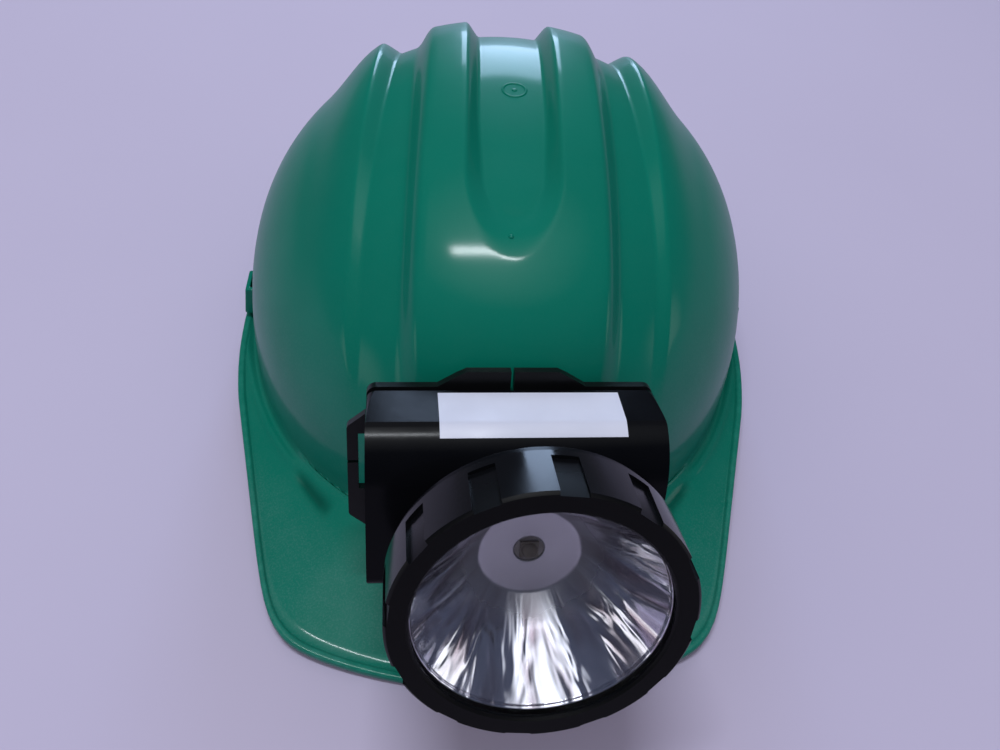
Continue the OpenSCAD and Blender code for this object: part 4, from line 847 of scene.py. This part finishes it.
# inner pieces keep their solid
innerPieces = {"case_seal": "sealRubber", "cell_holder": "innerPlastic", "battery_cell": "cellSleeve",
               "cell_contacts": "contactBrass", "control_board": "boardGreen", "switch_body": "innerPlastic",
               "led_board": "ledMetal", "head_leads": "leadSleeve", "lens_gasket": "sealRubber"}
for nodeName, finishName in innerPieces.items():
    nodes[nodeName].data.materials.clear()
    nodes[nodeName].data.materials.append(finish[finishName])

# ring that holds the lens: polished band, matt front
bezelForm = {"matt": (67.4, 68.2), "round": 0.7, "segments": 3}


def buildBezel(settings):
    mesh = softened("bezel_ring", "bezelRing", settings["round"], settings["segments"])
    depth = lampDepth(np.array([v.co for v in mesh.vertices]))
    setAttribute(mesh, "matt", ramp(*settings["matt"], depth))
    return mesh


addPiece("bezelRing", buildBezel(bezelForm), finish["bezelBlack"], "bezel", ["bezel_ring"])

# mirror bowl: nearly flat round the chip, then a steep wall
bowlForm = {"holeR": 4.4, "floorR": 15, "rimR": 35, "back": 37.5, "floorRise": 1.2, "foot": 37.2,
            "front": 63.5, "flangeR": 37.9, "thick": 1.2, "power": 1.08, "lip": 64.6, "lipAt": (0.05, 0.25),
            "behindShare": 0.7, "behindGap": 0.6, "steps": 64, "turns": 192, "streakAlong": 0.55,
            "streakFrom": (-3, 12)}


def bowlProfile(f):
    hole, floor, rim, front, thick = f["holeR"], f["floorR"], f["rimR"], f["front"], f["thick"]
    inside = []
    for r in np.linspace(hole, rim, f["steps"]):
        w = f["back"] + f["floorRise"] * min(1, (r - hole) / (floor - hole))
        wall = max(0, (r - floor) / (rim - floor))
        inside.append((r, w + (front - f["back"] - f["floorRise"]) * wall ** f["power"]))
    lipIn, lipOut = f["lipAt"]
    flange = [(rim + lipIn, f["lip"]), (rim + lipOut, f["lip"]), (rim + lipOut, front), (f["flangeR"], front),
              (f["flangeR"], front - thick)]
    behind = [(r + thick * f["behindShare"], w - thick * f["behindShare"]) for r, w in inside[::-4]]
    behind = [(r, w) for r, w in behind if f["foot"] < w < front - thick - f["behindGap"]]
    return inside + flange + behind + [(behind[-1][0], f["foot"]), (hole, f["foot"])]


def buildBowl(f):
    mesh = lathe("reflectorBowl", bowlProfile(f), f["turns"])
    local = (np.array([v.co for v in mesh.vertices]) - np.array(axisFoot)) / mm
    side, height = local @ np.array(lampAcross), local @ np.array(lampUp)
    radius = np.hypot(side, height)
    place = mesh.attributes.new("streakPlace", "FLOAT_VECTOR", "POINT")
    spots = np.stack([side / radius, height / radius, f["streakAlong"] * radius / f["rimR"]], -1)
    place.data.foreach_set("vector", spots.astype(np.float32).ravel())
    setAttribute(mesh, "streaked", ramp(*(f["floorR"] + step for step in f["streakFrom"]), radius))
    return mesh


addPiece("reflectorBowl", buildBowl(bowlForm), finish["bowlMirror"], "head",
         ["reflector"])
lensForm = {"radius": 37.9, "back": 64.8, "front": 66.4, "edge": 0.35, "firstRing": 3, "ringGap": 0.3,
            "rings": 12, "turns": 128}


def buildLens(f):
    r, e = f["radius"], f["edge"]
    radii = [0.001, *np.linspace(f["firstRing"], r - e - f["ringGap"], f["rings"]), r - e]
    profile = [(q, f["back"]) for q in radii] + [(r, f["back"] + e), (r, f["front"] - e)]
    return lathe("frontLens", profile + [(q, f["front"]) for q in radii[::-1]], f["turns"])


addPiece("frontLens", buildLens(lensForm), finish["lensClear"], "head", ["lens"])
print("lamp head done")


# harness: crown webbing and padded brow band, in millimetres
def stripMesh(name, mapName, points, section, lengths):  # the map runs across the section and along the strip
    count, loops = len(section), len(lengths)
    ends = [tuple(range(count)), tuple(range((loops - 1) * count, loops * count))]
    mesh = bpy.data.meshes.new(name)
    mesh.from_pydata(points, [], loopFaces(loops, count) + ends)
    layer = mesh.uv_layers.new(name=mapName)
    for corner in mesh.loops:
        v = corner.vertex_index
        layer.data[corner.index].uv = (section[v % count][0] * mm, lengths[v // count] * mm)
    return closedMesh(mesh)


strapForm = {"angle": 50, "width": 20, "thick": 1.2, "crown": 94, "gap": 0.3, "frontR": 96.26, "rearR": 94.47,
             "foot": 36.1, "fullness": 2.6, "steps": 96, "edge": 0.35, "edgeW": 0.6}
# box seam near each end of a web: distances along from the end, and half its width
boxForm = {"near": 12, "far": 26, "half": 7, "steps": 8}
webSeams = {}


def webBoxes(inner, lengths):
    b, total, paths = boxForm, lengths[-1], []

    def at(x, travel):
        k = min(max(int(np.searchsorted(lengths, travel)), 1), len(lengths) - 1)
        share = (travel - lengths[k - 1]) / (lengths[k] - lengths[k - 1])
        spot = inner[k - 1][0].lerp(inner[k][0], share)
        return (spot + inner[k][1] * x) * mm

    for near, far in ((b["near"], b["far"]), (total - b["near"], total - b["far"])):
        travels = [near + (far - near) * k / b["steps"] for k in range(b["steps"] + 1)]
        paths += [[at(side * b["half"], travel) for travel in travels] for side in (-1, 1)]
        paths += [[at(-b["half"], travel), at(b["half"], travel)] for travel in (near, far)]
    return paths


def strapMesh(name, side, crown):
    f = strapForm
    along = []
    for k in range(f["steps"] + 1):
        a = math.pi * k / f["steps"]
        r = f["frontR"] if a < math.pi / 2 else f["rearR"]
        reach = -math.copysign(abs(math.cos(a)) ** (2 / f["fullness"]), math.cos(a))
        rise = max(0, math.sin(a)) ** (2 / f["fullness"])
        along.append(Vector((0, r * reach, f["foot"] + (crown - f["foot"]) * rise)))
    half, thick, edge, flat = f["width"] / 2, f["thick"], f["edge"], f["width"] / 2 - f["edgeW"]
    section = [(-half, edge), (-flat, 0.0), (0, 0.0), (flat, 0.0), (half, edge), (half, thick - edge),
               (flat, thick), (0, thick), (-flat, thick), (-half, thick - edge)]
    turn = Matrix.Rotation(math.radians(side * f["angle"]), 3, "Z")
    points, travel, lengths, inner = [], 0.0, [], []
    for k, p in enumerate(along):
        ahead = along[min(k + 1, len(along) - 1)] - along[max(k - 1, 0)]
        outward = Vector((1, 0, 0)).cross(ahead.normalized()).normalized()
        if outward.z < 0 and abs(outward.z) > abs(outward.y):
            outward = -outward
        if k:
            travel += (p - along[k - 1]).length
        lengths.append(travel)
        points += [turn @ (p + Vector((x, 0, 0)) + outward * lift) * mm for x, lift in section]
        inner.append((turn @ p, turn @ Vector((1, 0, 0))))
    webSeams[name] = webBoxes(inner, lengths)
    return stripMesh(name, "webMap", points, section, lengths)


lowerCrown = strapForm["crown"]
upperCrown = lowerCrown + strapForm["thick"] + strapForm["gap"]
for webName, side, crown, nodeName in (("crownWebLower", -1, lowerCrown, "crown_strap_lower"),
                                       ("crownWebUpper", 1, upperCrown, "crown_strap_upper")):
    addPiece(webName, strapMesh(webName, side, crown), finish["webbing"], "cap", [nodeName])
browForm = {"halfW": 79.9, "halfLen": 95.9, "thick": 3.0, "span": 70, "low": 14, "high": 44, "around": 150,
            "across": 18, "edge": 0.5, "skin": 0.6, "swellPower": 0.45, "seams": (0.1, 0.9), "seamW": 0.03,
            "seamDeep": 0.35, "taper": (40, 0.25), "pucker": (0.06, 92)}


def buildBrowPad(f):
    points, lengths, travel, last = [], [], 0.0, None
    section = []
    for i in range(f["across"] + 1):  # inner face swells between the two seams
        s = i / f["across"]
        swell = math.sin(math.pi * s) ** f["swellPower"] if 0 < s < 1 else 0
        seam = sum(math.exp(-((s - place) / f["seamW"]) ** 2) for place in f["seams"])
        depth = (f["thick"] - f["skin"]) * swell * (1 - f["seamDeep"] * seam)
        section.append((between((f["low"], f["high"]), s), f["edge"] + depth))
    section += [(f["high"], 0.0), (f["low"], 0.0)]
    for k in range(f["around"] + 1):
        share = k / f["around"]
        a = math.radians(270 - f["span"] + 2 * f["span"] * share)
        r = 1 / math.hypot(math.cos(a) / f["halfW"], math.sin(a) / f["halfLen"])
        spot = Vector((r * math.cos(a), r * math.sin(a), 0))
        normal = Vector((math.cos(a) / f["halfW"] ** 2, math.sin(a) / f["halfLen"] ** 2, 0)).normalized()
        if last is not None:
            travel += (spot - last).length
        last = spot
        lengths.append(travel)
        full = min(1, min(share, 1 - share) * f["taper"][0] + f["taper"][1])
        full *= 1 - f["pucker"][0] * (0.5 + 0.5 * math.sin(share * f["pucker"][1]))
        points += [(spot - normal * t * (full if t > f["edge"] else 1) + Vector((0, 0, z))) * mm
                   for z, t in section]
    return stripMesh("browPad", "clothMap", points, section, lengths)


# stitches follow the seams: one small thread lens at each step along a path
stitchForm = {"Pitch": 0.0026, "Length": 0.0019, "Radius": 0.00028, "Sway": 0.10, "Seed": 7}
stitchSockets = {"Paths": "NodeSocketGeometry", "Pitch": "NodeSocketFloat", "Length": "NodeSocketFloat",
                 "Radius": "NodeSocketFloat", "Sway": "NodeSocketFloat", "Seed": "NodeSocketInt",
                 "Thread": "NodeSocketMaterial"}


def buildStitchTree():
    tree = bpy.data.node_groups.new("seamStitches", "GeometryNodeTree")
    for name, kind in stitchSockets.items():
        tree.interface.new_socket(name, in_out="INPUT", socket_type=kind)
    tree.interface.new_socket("Stitches", in_out="OUTPUT", socket_type="NodeSocketGeometry")
    given = tree.nodes.new("NodeGroupInput").outputs

    def step(kind, values, **traits):
        return addNode(tree, kind, values, **traits).outputs

    def triple(x, y, z=0.0):
        return addNode(tree, "ShaderNodeCombineXYZ", {"X": x, "Y": y, "Z": z}).outputs[0]

    curve = step("GeometryNodeMeshToCurve", {"Mesh": given["Paths"]})
    spots = step("GeometryNodeCurveToPoints", {"Curve": curve["Curve"], "Length": given["Pitch"]},
                 mode="LENGTH")
    bead = step("GeometryNodeMeshUVSphere", {"Segments": 8, "Rings": 6, "Radius": 1.0})
    size = triple(given["Radius"], given["Radius"], combine(tree, "MULTIPLY", given["Length"], 0.5))
    lens = step("GeometryNodeTransform", {"Geometry": bead["Mesh"], "Scale": size})
    smooth = step("GeometryNodeSetShadeSmooth", {"Geometry": lens["Geometry"]})
    spread = step("GeometryNodeInstanceOnPoints", {"Points": spots["Points"], "Instance": smooth["Geometry"],
                                                   "Rotation": spots["Rotation"]})
    less = combine(tree, "MULTIPLY", given["Sway"], -1.0)
    sway = addNode(tree, "FunctionNodeRandomValue", {2: less, 3: given["Sway"], "Seed": given["Seed"]},
                   data_type="FLOAT").outputs[1]
    swayed = triple(sway, sway)
    turned = step("GeometryNodeRotateInstances", {"Instances": spread["Instances"], "Rotation": swayed})
    real = step("GeometryNodeRealizeInstances", {"Geometry": turned["Instances"]})
    dressed = step("GeometryNodeSetMaterial", {"Geometry": real["Geometry"], "Material": given["Thread"]})
    addNode(tree, "NodeGroupOutput", {"Stitches": dressed["Geometry"]})
    return tree


stitchTree = buildStitchTree()


def sewn(name, paths, settings):
    edges, start = [], 0
    for path in paths:
        edges += [(start + k, start + k + 1) for k in range(len(path) - 1)]
        start += len(path)
    guide = bpy.data.meshes.new(name + "Guide")
    guide.from_pydata([tuple(spot) for path in paths for spot in path], edges, [])
    holder = addObject(name + "Guide", guide)
    modifier = holder.modifiers.new("stitches", "NODES")
    modifier.node_group = stitchTree
    values = {**settings, "Thread": finish["seamThread"]}
    for item in stitchTree.interface.items_tree:
        if item.name in values:
            modifier[item.identifier] = values[item.name]
    return evaluatedMesh(holder, name)


def browSeams(mesh, f):
    count, corners = f["across"] + 3, [v.co.copy() for v in mesh.vertices]
    return [[corners[k * count + i] for k in range(2, f["around"] - 1)] for i in (2, f["across"] - 2)]


webStitches = sewn("webStitches", webSeams["crownWebLower"] + webSeams["crownWebUpper"], stitchForm)
addPiece("webStitches", webStitches, None, "cap")
browMesh = buildBrowPad(browForm)
browStitches = sewn("browStitches", browSeams(browMesh, browForm), stitchForm)
addPiece("browStitches", browStitches, None, "cap")
print("stitches", len(webStitches.polygons) + len(browStitches.polygons))
browPad = addPiece("browPad", browMesh, finish["sweatCloth"], "cap", ["sweatband"])
print("harness done")
